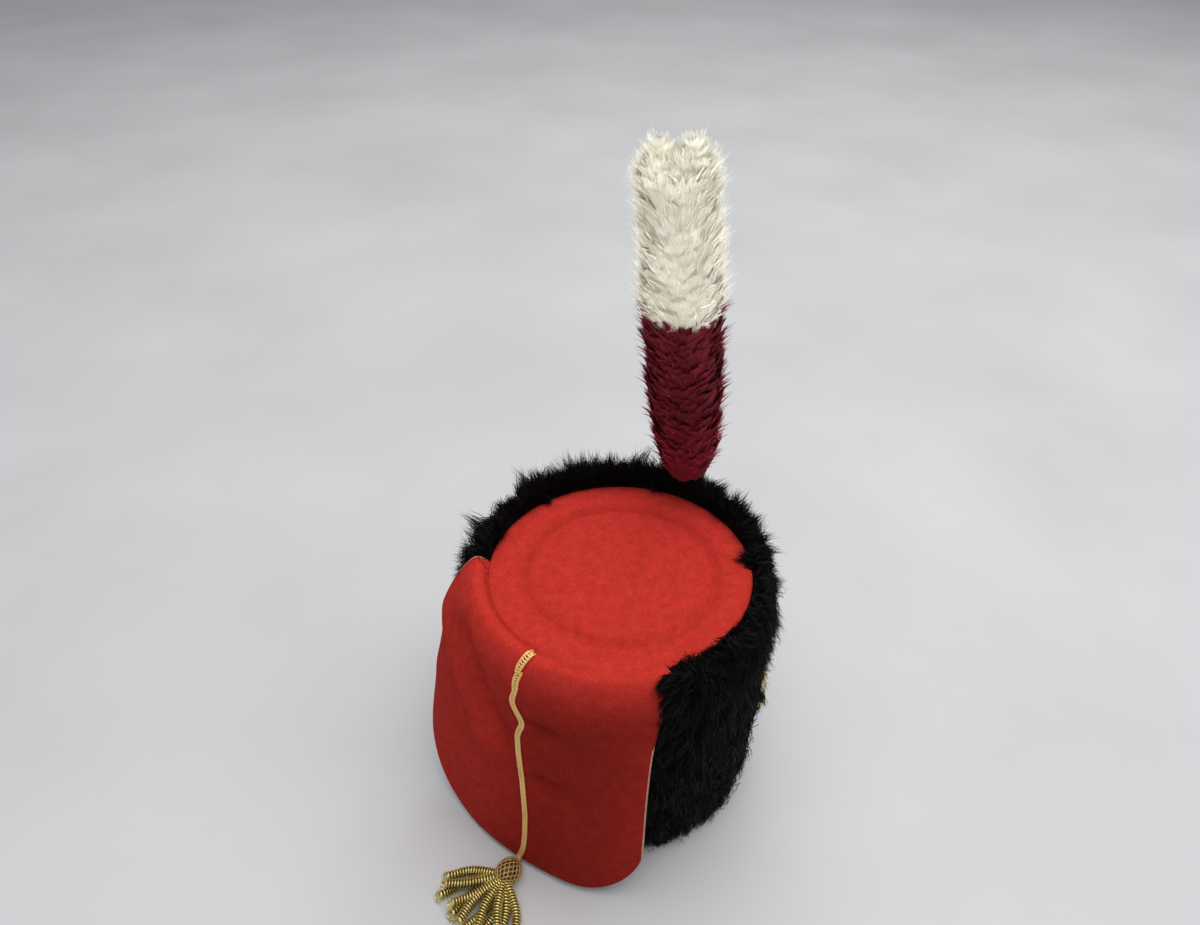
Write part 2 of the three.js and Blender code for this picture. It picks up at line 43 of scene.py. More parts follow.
MM = 0.001
CROWN_RADIUS = 95.0
CROWN_HEIGHT = 200.0
FELT = 2.0
GAP = 0.4
BAG_ANGLE = 180.0
PLUME_ANGLE = 4.6
GOLDEN_TURN = 137.508

# Camera: where it stands, how far it looks down, and its heading from +Y
CAMERA_PLACE = (-0.3766, -0.2838, 0.6557)
CAMERA_DOWN = 37.3
CAMERA_HEADING = -51.22
CAMERA_LENS = 27.0

# Studio lights: place, aim and size in metres, how wide each one spreads in degrees, and power in watts
STUDIO_LIGHTS = [
    ("ceiling", (0.8, -0.1, 3.1), (0, 0, 0), 3.8, 180, 106),
    ("front", (-1.2, -0.9, 2.9), (0, 0, 0), 1.6, 180, 13),
    ("plume", (-1.15, -0.8, 0.62), (0.08, 0.02, 0.46), 0.3, 14, 0.24),
    ("plume_right", (0.55, -1.25, 0.6), (0.08, 0.02, 0.38), 0.2, 14, 0.14),
    ("plume_left", (-0.95, 0.95, 0.6), (0.08, 0.02, 0.4), 0.2, 14, 0.14),
]

# Fur: section of the pile from the foot up to the crest. Each row has radius and height at the back, at the
# front and under the bag, then the hair's pitch at the back and at the front. Pitch is how far the hair leans
# above the horizon, and past 90 it leans over the crown.
FUR_SECTION = [
    ("foot inside", (90.5, 0), (90.5, 0), (90.5, 0), (-88, -88)),
    ("foot outside", (97.5, 0), (97.5, 0), (97, 0), (-86, -84)),
    ("hem", (101, 5), (101, 5), (100, 5), (-82, -78)),
    ("low side", (103.5, 30), (103.5, 30), (103, 30), (-76, -76)),
    ("belly", (107.5, 100), (107.5, 100), (105.5, 100), (-68, -70)),
    ("high side", (108.5, 165), (108, 165), (105, 165), (-46, -58)),
    ("shoulder", (108.5, 194), (107.5, 191), (103, 186), (8, -18)),
    ("crest outside", (105.5, 208), (104.5, 204), (100.5, 193), (55, 20)),
    ("crest inside", (99.5, 208), (100.5, 203), (97, 194.5), (82, 50)),
    ("seat wall", (96.2, 200), (96.2, 200), (95.8, 195), (92, 60)),
    ("seat outside", (95.6, 197.6), (95.6, 197.6), (94.5, 197.6), (112, 60)),
    ("seat inside", (90.5, 197.6), (90.5, 197.6), (90.5, 197.6), (112, 60)),
]
# Spots of the section that hair grows on
HAIRY_SPOTS = slice(1, 10)
# Where the front's section starts beside the bag, and where it turns into the back's
FRONT_START = -132
FRONT_TO_BACK = (-62, -15)
# Half angle that the bag covers, and the angle over which the fur comes out from under it
BAG_COVER = (55, 9)
# Pieces of the pile: shares of its height that each covers, its hair's length and how that varies
FUR_PIECES = [
    ("fur_low", 0.0, 0.42, 14.0, (0.55, 1.2)),
    ("fur_high", 0.40, 0.80, 15.0, (0.55, 1.2)),
    ("fur_crest", 0.78, 1.0, 13.5, (0.4, 1.4)),
]
FUR_ANGLES = (-131, 133)
CLUMPS = 1150
CLUMP_HAIRS = 54
# One hair: how it scatters, strays, varies, gathers, droops, swells out, arches and tapers
HAIR = {"width": 0.58, "scatter": 0.5, "stray": 0.09, "vary": (0.6, 1.1), "gather": (0.08, 0.5),
        "droop": 0.1, "swell": 0.15, "arch": 0.05, "taper": 0.7}
# Shades of a hair from its root to its tip, painted shade at the root and lighter towards the tip, and random
# shades of whole tufts
HAIR_PAINTED_SHADES = [0.4, 0.4, 0.9, 0.9, 1.5]
CLUMP_SHADES = (0.6, 1.5)
ROOT_DEPTH = 1.5
FLOOR_CLEAR = 0.35
# Radius that the roots of the hair keep to, so that they stay clear of the crown
HAIR_CLEAR = 96.3
CLUMP_RADIUS = (4.0, 9.0)
PILE_SPREAD = {"pitch": 10, "swing": 18}
# How long the crest's hair is round the drum, as angles and shares of its full length
CREST_HAIR = [(-131, 0.62), (-100, 0.6), (-60, 0.55), (-35, 0.72), (-5, 1.12), (45, 1.15), (75, 1.1),
              (88, 0.72), (105, 0.8), (120, 1.1), (133, 1.15)]
# Heights between which the crest's hair comes in
CREST_HEIGHTS = (180, 195)
# Share of the tufts high on the crest that are longer than the rest, and how much longer they are
CREST_LONG = {"above": 0.9, "share": 0.1, "times": 1.5}
# Tufts that stand out from the pile: their angles, radius and heights, then their pitch, how far they swing
# round the drum, their length and their number
FUR_TUFTS = [
    ("beside the flap's left corner", (117, 126), 106, (178, 197), 14, 8, 17, 26),
    ("over the flap's right edge", (-127, -120), 113, (135, 194), -18, -58, 11.5, 80),
    ("over the flap's upper right corner", (-126, -118), 108, (193, 206), 12, -62, 12.5, 50),
    ("over the spare links", (-67, -61), 110.5, (86, 104), -70, 0, 13, 9),
    ("on the left of the crown", (73, 79), 99, (203, 206), 170, 0, 13, 5),
    ("at the back of the crown", (17, 24), 99, (203, 206), 170, 0, 12, 5),
    ("on the right of the crown", (-52, -46), 100, (202, 204), 172, 0, 16, 5),
]
TUFT_RADIUS = (2.5, 5.0)
TUFT_SPREAD = {"pitch": 9, "swing": 12}
TUFT_VARY = (0.7, 1.2)
TUFT_HAIRS = 60

# Felt crown: height of its top above CROWN_HEIGHT, from the middle outwards
CROWN_SECTION = [(0, 1.2), (50, 1.1), (61, 1.0), (66, -0.6), (70, -2.8), (74, -0.6), (79, 0.7), (88, 0.7),
                 (93, 0.3), (95, -0.5)]
CROWN_BLUR = 8
# Painted shade in the pressed ring of the crown, where its groove lies in shadow, as radii and shades
CROWN_RING_PAINTED_SHADE = [(0, 1), (63, 1), (69, 0.9), (71, 0.9), (77, 1), (95, 0.98)]

# Felt flap: its root on the crown, then its sections down to the hem, each with its height, the angles of its
# left and right edges and its radii from left to right
FLAP_ROOT = [(88, 199.76), (95.5, 198.6), (99.5, 202.1), (105, 203.4)]
# Where the root runs in over the crown, as radii and heights above the crown's top
FLAP_ROOT_INSIDE = [(76, -0.5), (79, -0.2), (81, -0.05), (83, 0.03), (85, 0.06), (86.5, 0.06)]
# Crease at the root: where across the flap it fades out, and how far it is filled there
CREASE_FADE = (-0.3, 0.5)
CREASE_FILL = 2.1
FLAP_ROOT_SPAN = (-56, 56)
FLAP_SECTIONS = [
    (191, (-53.5, 53), (118, 115.5, 115, 115, 114.5)),
    (172, (-50.5, 50.5), (126, 119, 117.5, 117.5, 117)),
    (148, (-47.5, 48.5), (132, 123, 119.5, 119.5, 119.5)),
    (108, (-44.5, 47), (140.5, 128, 122.5, 121.5, 124)),
    (60, (-42, 46), (149, 134.5, 127, 126.5, 129.5)),
    (6, (-41.5, 45), (153, 139.5, 133, 134, 136)),
]
# Lower corners: where across the flap each starts, and the share of the length that it rounds off
FLAP_CORNERS = {"left": (0.36, 0.27), "right": (0.55, 0.2)}
# Painted shadow in the crease at the flap's root, over rows of the flap's mesh
CREASE_PAINTED_SHADOW = [(7, 1), (10, 0.7), (12, 0.7), (15, 1)]
# Painted shade on the hanging part, which faces away from the lamps, from left to right
FLAP_PAINTED_SHADE = [(-1, 0.92), (-0.2, 0.81), (0.25, 0.56), (0.7, 0.56), (1, 0.7)]
FLAP_COLUMNS = 91
FLAP_ROWS = 141
# Rows of the mesh where the left and right cut edges start to show, and where the felt turns down
CUT_ROWS = (14, 62)
HANGING_ROWS = (17, 46)
# Half width and length of the flap, then its folds: where each starts and ends across and along the flap, how
# wide it is and how far it rises
FLAP_SIZE = np.array([103.0, 225.0])
FLAP_FOLDS = [
    ("left ridge", (-0.9, 0.25), (-0.17, 0.53), 8, 4.8),
    ("long ridge", (-0.3, 0.52), (0.02, 0.78), 10, 2.6),
    ("left hollow", (-0.52, 0.21), (-0.10, 0.42), 7, -6.4),
    ("left lower swell", (-0.5, 0.68), (-0.2, 0.88), 16, 2.0),
    ("upper dent", (0.2, 0.33), (0.5, 0.37), 6, -3.0),
    ("middle dent", (0.24, 0.58), (0.52, 0.61), 7, -3.0),
    ("upper pucker", (0.185, 0.32), (0.31, 0.318), 3.2, -3.2),
    ("middle pucker", (0.19, 0.575), (0.36, 0.57), 3.2, -3.2),
    ("right lobe", (0.5, 0.78), (0.6, 0.9), 20, 2.5),
    ("left edge ripple", (-0.95, 0.5), (-0.6, 0.58), 8, 1.2),
    ("lower ripple", (0.2, 0.78), (0.36, 0.94), 9, -1.4),
]

# Gold braid: places along and across the flap
BRAID_ROUTE = [(0.075, 0.065), (0.12, 0.045), (0.19, 0.05), (0.25, 0.03), (0.32, 0.1), (0.4, 0.07),
               (0.55, 0.095), (0.75, 0.14), (0.92, 0.135), (1.0, 0.095)]
BRAID_WIDTH = 5.4
# The tape is in two pieces: where down the braid the lower one starts and the upper one ends
BRAID_BREAK = (0.123, 0.135)
# Pitch of the weave, open at the top and close below, and how far the lower piece is set aside at its start
BRAID_PITCHES = [(0.2, 4.2), (0.3, 1.7)]
BRAID_SHIFTS = [(0.135, 1.1), (0.17, 0)]
# How high the tape lies over the felt, and how much higher or lower its two pieces lie
BRAID_LIFT = {"tape": 0.75, "tail": 0.8, "upper": 0.35, "lower": -0.25}
# Widths of the two pieces, as shares down the braid and shares of its width
UPPER_WIDTHS = [(0, 1.08), (0.1, 0.98), (0.135, 0.72)]
LOWER_WIDTHS = [(0.135, 1), (0.2, 0.96), (0.24, 0.74), (0.3, 0.86), (1, 0.76)]
# Cords along the tape's edges, and threads that cross between them
WEAVE_STEP = 0.42
EDGE_CORD = {"radius": 0.82, "rib": 0.1, "inset": 0.8, "lift": 0.1}
CROSS_THREAD = {"radius": 0.5, "inset": 0.9, "lift": 0.42}

# Tassel: its head and its fan of strands
TASSEL_CENTRE = np.array([-148.5, -13.0, 9.4])
TASSEL_RADIUS = 9.2
TASSEL_LENGTH = 22.0
TASSEL_AXIS_ANGLE = 180.0
STRAND_RADIUS = 3.7
COIL_PITCH = 1.8
COIL_WIRE = 0.64
COIL_POINTS = 14
# Layers of strands: number, spread in degrees, length, height over the table and sideways bow
STRAND_LAYERS = [
    (7, 98, 37, STRAND_RADIUS + 0.7, 4),
    (5, 70, 35, 3 * STRAND_RADIUS, -3),
]
# Net over the head, and the core under it as shares of the head's radius and length
HEAD_FULLNESS = 0.8
NET_CORDS = 14
NET_TWIST = 0.85
NET_SIZE = 0.955
NET_WIRE = 0.44
HEAD_CORE = (0.88, 0.46)

# Plume: foot and lean of its rod, then its feathers, with their outer radii at heights up the rod
PLUME_FOOT_RADIUS = 101.0
PLUME_BASE = 190.0
PLUME_LEAN = 4.8
PLUME_LEAN_ANGLE = 127.0
# Each feather's root and tip set a painted shade at its root and a painted highlight at its tip, under sets
# the painted shade of the core between the feathers, and a table by height sets painted light towards the
# plume's foot
FEATHERS = [
    {"node": "plume_red", "slot": "feather_red", "from": 34, "to": 163, "petals": 760, "length": (16, 22),
     "width": (7.5, 11), "barbs": 9, "fringe": 0.2, "curl": 0.14, "pitch": 12, "inset": 5.5, "root": 0.62,
     "tip": 1.55, "under": 0.5, "strays": 850, "stray": (10, 17), "core": (19, 172), "seed": 31,
     "foot_painted_light": [(34, 2.2), (52, 2.1), (72, 1.75), (94, 1.3), (125, 1.05), (163, 1)],
     "radii": [(19, 7), (33, 14), (55, 24), (110, 28.5), (176, 28.5)]},
    {"node": "plume_white", "slot": "feather_white", "from": 166, "to": 258, "petals": 620,
     "length": (18, 25), "width": (9, 13), "barbs": 11, "fringe": 0.42, "curl": 0.18, "pitch": 14, "inset": 6,
     "root": 0.98, "tip": 1.06, "under": 0.85, "strays": 1150, "stray": (10, 18), "core": (172, 262),
     "seed": 32, "foot_painted_light": [(166, 1), (290, 1)],
     "radii": [(166, 30), (182, 30), (222, 28.5), (262, 26.5), (280, 25), (296, 14)]},
]
# One feather: how much shorter its side barbs are, how it cups, its barbs' widths, and its shades
PETAL = {"shorter": 0.36, "cup": 0.16, "widths": (0.36, 0.648, 0.72), "shades": (0.9, 1.06),
         "barb_shades": (0.94, 1.05)}
PETAL_SPREAD = {"pitch": 5, "angle": 9}
PETAL_REACH = 10
LEAST_RADIUS = 1.5
CORE_INSET = 8
STRAY_BARBS = {"past": (8, 16), "pitch": (25, 60), "depth": 4, "spread": 12, "half_width": 0.6}
# Lobes at the top, whose feathers lean out at the foot and straighten on the way up, then the angle of each
# lobe, its distance from the rod, its top and its number of feathers
LOBE = {"radius": 16, "height": 26, "pitch": 24, "straighten": 15}
PLUME_LOBES = [
    (127, 11, 276, 250),
    (-53, 11, 275, 250),
    (217, 5, 268, 200),
    (37, 8, 262, 90),
]

# Chin chain: links lie flat and stand upright by turns, and a few spare ones hang below the front stud
CHAIN_ANGLES = (-65.0, 119.0)
CHAIN_RADIUS = 113.0
CHAIN_HEIGHT = 108.0
CHAIN_SAG = 70.0
LINK_PITCH = 6.8
LINK_SIZE = (4.8, 2.9)
LINK_WIRE = 1.35
LINK_POINTS = (20, 8)
LINK_TILTS = (6, 84)
# Part of the way between the studs that has links
CHAIN_SHOWN = (0.022, 0.978)
# Hair left along the chain, as heights from it and shares of the hair's length, and how far past the studs
CHAIN_PRESS = [(-14, 1), (-8, 0.15), (24, 0.15), (40, 1)]
CHAIN_PRESS_PAST = (10, 6)
STUD_PROFILE = [(0.02, -6), (2.2, -6), (2.2, 0), (6.4, 0), (7.0, 0.5), (7.0, 1.2), (6.5, 1.5), (6.1, 1.3),
                (5.7, 1.6), (4.9, 2.5), (3.4, 3.3), (1.6, 3.7), (0.02, 3.8)]
STUD_SINK = 2
SPARE_LINKS = {"heights": (103.0, 75.5), "radii": (112.5, 111.0)}


def polar(radius, angle, height):
    """Points at radii, angles in degrees and heights."""
    turn = np.radians(angle)
    east, north = radius * np.cos(turn), radius * np.sin(turn)
    return np.stack(np.broadcast_arrays(east, north, height), -1).astype(float)


def unit(vectors):
    return vectors / np.maximum(np.linalg.norm(vectors, axis=-1, keepdims=True), 1e-9)


def leaning(pitch, angle):
    """Directions that lean above the horizon by a pitch and face an angle, both in degrees."""
    return unit(polar(np.cos(np.radians(pitch)), angle, np.sin(np.radians(pitch))))


def eased(share):
    """Shares from 0 to 1 with a soft start and end."""
    share = np.clip(share, 0, 1)
    return share * share * (3 - 2 * share)


def read_off(table, place):
    """Values at places between the rows of a table."""
    return np.interp(place, *np.array(table, float).T)


def run_lengths(points):
    """Lengths along a line from its start to each of its points."""
    return np.concatenate([[0], np.cumsum(np.linalg.norm(np.diff(points, axis=0), axis=1))])


def points_at(places, lengths, points):
    """Points at places along a line with known lengths."""
    return np.stack([np.interp(places, lengths, points[:, axis]) for axis in range(3)], -1)


def uneven(index):
    """Repeatable uneven values from -1 to 1."""
    wave = math.sin(index * 12.9898 + 4.1) * 43758.5453
    return 2 * (wave - math.floor(wave)) - 1


def cubic(p1, p2, v0, v1, t):
    """Points on a curve between two points with a direction at each."""
    cube, square = 2 * p1 - 2 * p2 + v0 + v1, -3 * p1 + 3 * p2 - 2 * v0 - v1
    return cube * t**3 + square * t**2 + v0 * t + p1


def spline(values, share):
    """A value on an even smooth curve through the values, at shares from 0 to 1."""
    values = np.asarray(values, float)
    last = len(values) - 1
    place = np.clip(np.asarray(share, float), 0, 1) * last
    k = np.minimum(place.astype(int), last - 1)
    t = (place - k).reshape(place.shape + (1,) * (values.ndim - 1))
    p0, p1 = values[np.maximum(k - 1, 0)], values[k]
    p2, p3 = values[k + 1], values[np.minimum(k + 2, last)]
    return cubic(p1, p2, (p2 - p0) / 2, (p3 - p1) / 2, t)


def smooth_line(points, shares, steps=24):
    """Points at shares of the length of a centripetal curve through the points."""
    points = np.asarray(points, float)
    ends = np.vstack([2 * points[0] - points[1], points, 2 * points[-1] - points[-2]])
    t = np.linspace(0, 1, steps, endpoint=False)[:, None]
    rows = []
    for p0, p1, p2, p3 in zip(ends, ends[1:], ends[2:], ends[3:]):
        d0, d1, d2 = (max(np.linalg.norm(b - a) ** 0.5, 1e-4) for a, b in ((p0, p1), (p1, p2), (p2, p3)))
        v0 = ((p1 - p0) / d0 - (p2 - p0) / (d0 + d1) + (p2 - p1) / d1) * d1
        v1 = ((p2 - p1) / d1 - (p3 - p1) / (d1 + d2) + (p3 - p2) / d2) * d1
        rows.append(cubic(p1, p2, v0, v1, t))
    dense = np.vstack(rows + [points[-1:]])
    length = run_lengths(dense)
    return points_at(np.asarray(shares, float) * length[-1], length, dense)


def piece(name, points, faces, materials, slot, face_materials=None, shade=None):
    """A mesh object from points in millimetres and faces with the same number of corners."""
    faces = np.asarray(faces, np.int32)
    count, corners = faces.shape
    mesh = bpy.data.meshes.new(name)
    mesh.vertices.add(len(points))
    mesh.vertices.foreach_set("co", (np.asarray(points, float) * MM).ravel())
    mesh.loops.add(count * corners)
    mesh.loops.foreach_set("vertex_index", faces.ravel())
    mesh.polygons.add(count)
    mesh.polygons.foreach_set("loop_start", np.arange(count, dtype=np.int32) * corners)
    mesh.polygons.foreach_set("use_smooth", np.full(count, True))
    for material in materials:
        mesh.materials.append(material)
    if face_materials is not None:
        mesh.polygons.foreach_set("material_index", np.asarray(face_materials, np.int32))
    mesh.update(calc_edges=True)
    if shade is not None:
        tone = mesh.color_attributes.new("shade", "FLOAT_COLOR", "POINT")
        grey = np.repeat(np.asarray(shade, np.float32)[:, None], 4, axis=1)
        tone.data.foreach_set("color", grey.ravel())
    thing = bpy.data.objects.new(name, mesh)
    scene.collection.objects.link(thing)
    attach(thing, "root")
    return thing


def grid_faces(rows, columns, round_rows=False, round_columns=False):
    """Four-cornered faces of a grid of points, closed on itself where asked."""
    i, j = np.meshgrid(np.arange(rows if round_rows else rows - 1),
                       np.arange(columns if round_columns else columns - 1), indexing="ij")
    below, beside = (i + 1) % rows, (j + 1) % columns
    corners = [i * columns + j, below * columns + j, below * columns + beside, i * columns + beside]
    return np.stack(corners, -1).reshape(-1, 4)


def joined(parts):
    """Points and faces of several meshes as one."""
    points, faces, start = [], [], 0
    for part_points, part_faces in parts:
        points.append(part_points)
        faces.append(np.asarray(part_faces) + start)
        start += len(part_points)
    return np.vstack(points), np.vstack(faces)


def tube(path, radius, sides, up=(0, 0, 1)):
    """A tube along a path, with a radius for each point or one for all."""
    path = np.asarray(path, float)
    along = unit(np.gradient(path, axis=0))
    side = unit(np.cross(along, np.broadcast_to(np.asarray(up, float), path.shape)))
    top = np.cross(side, along)
    turn = np.linspace(0, 2 * np.pi, sides, endpoint=False)
    radius = np.broadcast_to(np.asarray(radius, float), (len(path),))[:, None, None]
    spoke = np.cos(turn)[:, None] * side[:, None] + np.sin(turn)[:, None] * top[:, None]
    ring = path[:, None] + radius * spoke
    return ring.reshape(-1, 3), grid_faces(len(path), sides, round_columns=True)


def turned(profile, sides):
    """A turned surface about +Z from pairs of radius and height."""
    profile = np.asarray(profile, float)
    angle = np.linspace(0, 360, sides, endpoint=False)
    points = polar(profile[:, :1], angle[None], profile[:, 1:])
    return points.reshape(-1, 3), grid_faces(len(profile), sides, round_columns=True)


# Materials
def shader(name, colour, roughness, metallic=0.0, specular=0.5):
    """A new material with its tree of nodes and its surface."""
    material = bpy.data.materials.new(name)
    material.use_nodes = True
    surface = material.node_tree.nodes["Principled BSDF"]
    surface.inputs["Base Color"].default_value = (*colour, 1)
    surface.inputs["Roughness"].default_value = roughness
    surface.inputs["Metallic"].default_value = metallic
    surface.inputs["Specular IOR Level"].default_value = specular
    return material, material.node_tree, surface


def noise(tree, scale, detail):
    place = tree.nodes.new("ShaderNodeTexCoord")
    texture = tree.nodes.new("ShaderNodeTexNoise")
    texture.inputs["Scale"].default_value = scale
    texture.inputs["Detail"].default_value = detail
    tree.links.new(place.outputs["Object"], texture.inputs["Vector"])
    return texture.outputs["Fac"]


def ramp(tree, value, stops):
    """Colours between stops of (place, colour)."""
    node = tree.nodes.new("ShaderNodeValToRGB")
    tree.links.new(value, node.inputs["Fac"])
    elements = node.color_ramp.elements
    for element, (place, colour) in zip(elements, (stops[0], stops[-1])):
        element.position = place
        element.color = (*colour, 1)
    for place, colour in stops[1:-1]:
        elements.new(place).color = (*colour, 1)
    return node.outputs["Color"]


def multiplied(tree, first, second, share):
    node = tree.nodes.new("ShaderNodeMix")
    node.data_type = "RGBA"
    node.blend_type = "MULTIPLY"
    node.inputs["Factor"].default_value = share
    tree.links.new(first, node.inputs["A"])
    tree.links.new(second, node.inputs["B"])
    return node.outputs["Result"]


def shaded_by_piece(tree, colour):
    """A colour times the piece's shade, which holds its painted shade and light as well as random tones."""
    tone = tree.nodes.new("ShaderNodeVertexColor")
    tone.layer_name = "shade"
    return multiplied(tree, colour, tone.outputs["Color"], 1.0)


def bump(tree, surface, value, strength, distance):
    node = tree.nodes.new("ShaderNodeBump")
    node.inputs["Strength"].default_value = strength
    node.inputs["Distance"].default_value = distance
    tree.links.new(value, node.inputs["Height"])
    tree.links.new(node.outputs["Normal"], surface.inputs["Normal"])


def felt_material(name, colour):
    """Wool felt: mottled colour, a bumpy face of fine fibres, and the piece's painted shade."""
    material, tree, surface = shader(name, colour, 0.95, specular=0.04)
    dark = tuple(0.9 * c for c in colour)
    light = tuple(1.06 * c + 0.003 for c in colour)
    mottle = ramp(tree, noise(tree, 130, 8), [(0.35, dark), (0.52, colour), (0.7, light)])
    fibre = ramp(tree, noise(tree, 620, 6), [(0.36, (0.72, 0.70, 0.70)), (0.66, (1.22, 1.2, 1.2))])
    coat = shaded_by_piece(tree, multiplied(tree, mottle, fibre, share=0.42))
    tree.links.new(coat, surface.inputs["Base Color"])
    bump(tree, surface, noise(tree, 900, 6), strength=0.7, distance=0.001)
    return material


def varied_material(name, dark, light, scale, roughness, metallic=0.0, specular=0.5, shaded=False,
                    through=0.0):
    """A colour between two tones, times the piece's painted shade and light where it has them, and light let
    through.
    """
    material, tree, surface = shader(name, light, roughness, metallic, specular)
    colour = ramp(tree, noise(tree, scale, 5), [(0.3, dark), (0.7, light)])
    if shaded:
        colour = shaded_by_piece(tree, colour)
    tree.links.new(colour, surface.inputs["Base Color"])
    bump(tree, surface, noise(tree, scale * 6, 3), strength=0.15, distance=0.0005)
    if through:
        thin = tree.nodes.new("ShaderNodeBsdfTranslucent")
        tree.links.new(colour, thin.inputs["Color"])
        both = tree.nodes.new("ShaderNodeMixShader")
        both.inputs["Fac"].default_value = through
        tree.links.new(surface.outputs["BSDF"], both.inputs[1])
        tree.links.new(thin.outputs["BSDF"], both.inputs[2])
        tree.links.new(both.outputs["Shader"], tree.nodes["Material Output"].inputs["Surface"])
    return material


FUR = varied_material("fur", (0.0016, 0.0016, 0.0018), (0.0048, 0.0048, 0.0056), 90, 0.55, specular=0.13,
                      shaded=True)
HIDE = varied_material("hide", (0.002, 0.002, 0.002), (0.006, 0.006, 0.006), 120, 0.95, specular=0.1)
RED_FELT = felt_material("red_felt", (0.58, 0.038, 0.027))
CUT_EDGE = varied_material("cut_edge", (0.48, 0.20, 0.13), (0.72, 0.43, 0.30), 400, 0.95)
BRAID = varied_material("gold_braid", (1.0, 0.53, 0.14), (1.0, 0.74, 0.28), 500, 0.28, metallic=0.2)
NET = varied_material("gold_net", (0.46, 0.27, 0.09), (0.82, 0.54, 0.21), 400, 0.36, metallic=0.4)
BULLION = varied_material("gold_bullion", (0.66, 0.50, 0.11), (1.0, 0.88, 0.36), 160, 0.18, metallic=0.8)
# Near-black cores inside the coils and under the net: painted shade seen through the gaps
BULLION_PAINTED_SHADE = varied_material("bullion_painted_shade_core", (0.05, 0.03, 0.008), (0.14, 0.09, 0.03), 300, 0.6,
                               metallic=0.6)
RED_FEATHER = varied_material("red_feather", (0.12, 0.010, 0.017), (0.19, 0.015, 0.026), 90, 0.7,
                              specular=0.25, shaded=True, through=0.4)
WHITE_FEATHER = varied_material("white_feather", (0.82, 0.80, 0.71), (0.93, 0.92, 0.86), 45, 0.75,
                                specular=0.25, shaded=True, through=0.62)
ROD = varied_material("plume_rod", (0.30, 0.30, 0.31), (0.52, 0.52, 0.53), 220, 0.35, metallic=1.0)
BRASS = varied_material("worn_brass", (0.58, 0.42, 0.14), (0.92, 0.74, 0.34), 130, 0.24, metallic=1.0)


# Fur drum: hide below, and tufts of hair over it
def cover(angle):
    """How far the felt covers the fur at an angle: 1 under the bag, 0 on the free sides."""
    away = np.abs((angle - BAG_ANGLE + 540) % 360 - 180)
    return 1 - eased((away - BAG_COVER[0]) / BAG_COVER[1])


def at_front(angle):
    """1 at the front of the drum, 0 at its back."""
    return eased(np.where(angle < FRONT_START, 0, np.interp(angle, FRONT_TO_BACK, [1, 0])))


def fur_section(angle):
    """Points of the pile's section at angles from -180 to 180."""
    front = at_front(angle)[..., None, None]
    hidden = cover(angle)[..., None, None]
    _, *lines, _ = zip(*FUR_SECTION)
    back_line, front_line, bag_line = np.array(lines, float)
    return (back_line * (1 - front) + front_line * front) * (1 - hidden) + bag_line * hidden


def make_hide():
    angle = np.linspace(-180, 180, 144, endpoint=False)
    section = fur_section(angle)
    points = polar(section[..., 0], angle[:, None], section[..., 1])
    faces = grid_faces(len(angle), len(FUR_SECTION), round_rows=True, round_columns=True)
    hide = piece("fur_hide", points.reshape(-1, 3), faces, [HIDE], "fur")
    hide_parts("fur_body")


def chain_height(angle):
    """Height of the chin chain at angles round the drum."""
    share = np.interp(angle, CHAIN_ANGLES, [0, 1])
    return CHAIN_HEIGHT - CHAIN_SAG * 4 * share * (1 - share)


def pressed_by_chain(angle, height):
    """Shares of the hair's length left where the chain lies on the fur."""
    first, last = CHAIN_ANGLES
    near = (angle > first - CHAIN_PRESS_PAST[0]) & (angle < last + CHAIN_PRESS_PAST[1])
    left = np.where(near, read_off(CHAIN_PRESS, height - chain_height(angle)), 1.0)
    low = SPARE_LINKS["heights"][1]
    spare = np.interp(height, [low - 12, low - 4], [1, 0.6])
    below_stud = (np.abs(angle - first) < CHAIN_PRESS_PAST[0]) & (height < CHAIN_HEIGHT)
    return np.minimum(left, np.where(below_stud, spare, 1.0))


def grow_fur(name, root, away, size, hairs, radius, rng):
    """Tufts of hair on roots, leaning along directions, as long as their sizes."""
    clumps = len(root)
    spread = rng.normal(0, HAIR["scatter"], (clumps, hairs, 3)) * rng.uniform(*radius, (clumps, 1, 1))
    spread -= (spread * away[:, None]).sum(-1, keepdims=True) * away[:, None]
    lean = rng.normal(0, HAIR["stray"], (clumps, hairs, 3))
    grown = size[:, None, None] * rng.uniform(*HAIR["vary"], (clumps, hairs, 1))
    gather = rng.uniform(*HAIR["gather"], (clumps, 1, 1))
    start = root[:, None] + spread
    inside = np.maximum(HAIR_CLEAR - np.linalg.norm(start[..., :2], axis=-1, keepdims=True), 0)
    start[..., :2] += inside * unit(start[..., :2])
    tip = root[:, None] + spread * gather + (away[:, None] + lean) * grown
    tip[..., 2] -= HAIR["droop"] * grown[..., 0]
    middle = 0.5 * start + 0.5 * tip + HAIR["swell"] * spread
    middle[..., 2] += HAIR["arch"] * grown[..., 0]
    wide = unit(np.cross(tip - start, rng.normal(0, 1, start.shape))) * HAIR["width"] / 2
    start, middle, tip, wide = (part.reshape(-1, 3) for part in (start, middle, tip, wide))
    for part in (start, middle, tip):
        part[:, 2] = np.maximum(part[:, 2], FLOOR_CLEAR)
    narrow = HAIR["taper"] * wide
    points = np.stack([start - wide, start + wide, middle - narrow, middle + narrow, tip], 1)
    first = 5 * np.arange(len(start))[:, None]
    faces = np.concatenate([first + [0, 1, 3], first + [0, 3, 2], first + [2, 3, 4]])
    # Painted shade at each hair's root, lighter towards its tip, times a random shade for each tuft
    tone = np.repeat(rng.uniform(*CLUMP_SHADES, clumps), hairs)[:, None] * HAIR_PAINTED_SHADES
    fur = piece(name, points.reshape(-1, 3), faces, [FUR], "fur", shade=tone.ravel())
    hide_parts("fur_body")


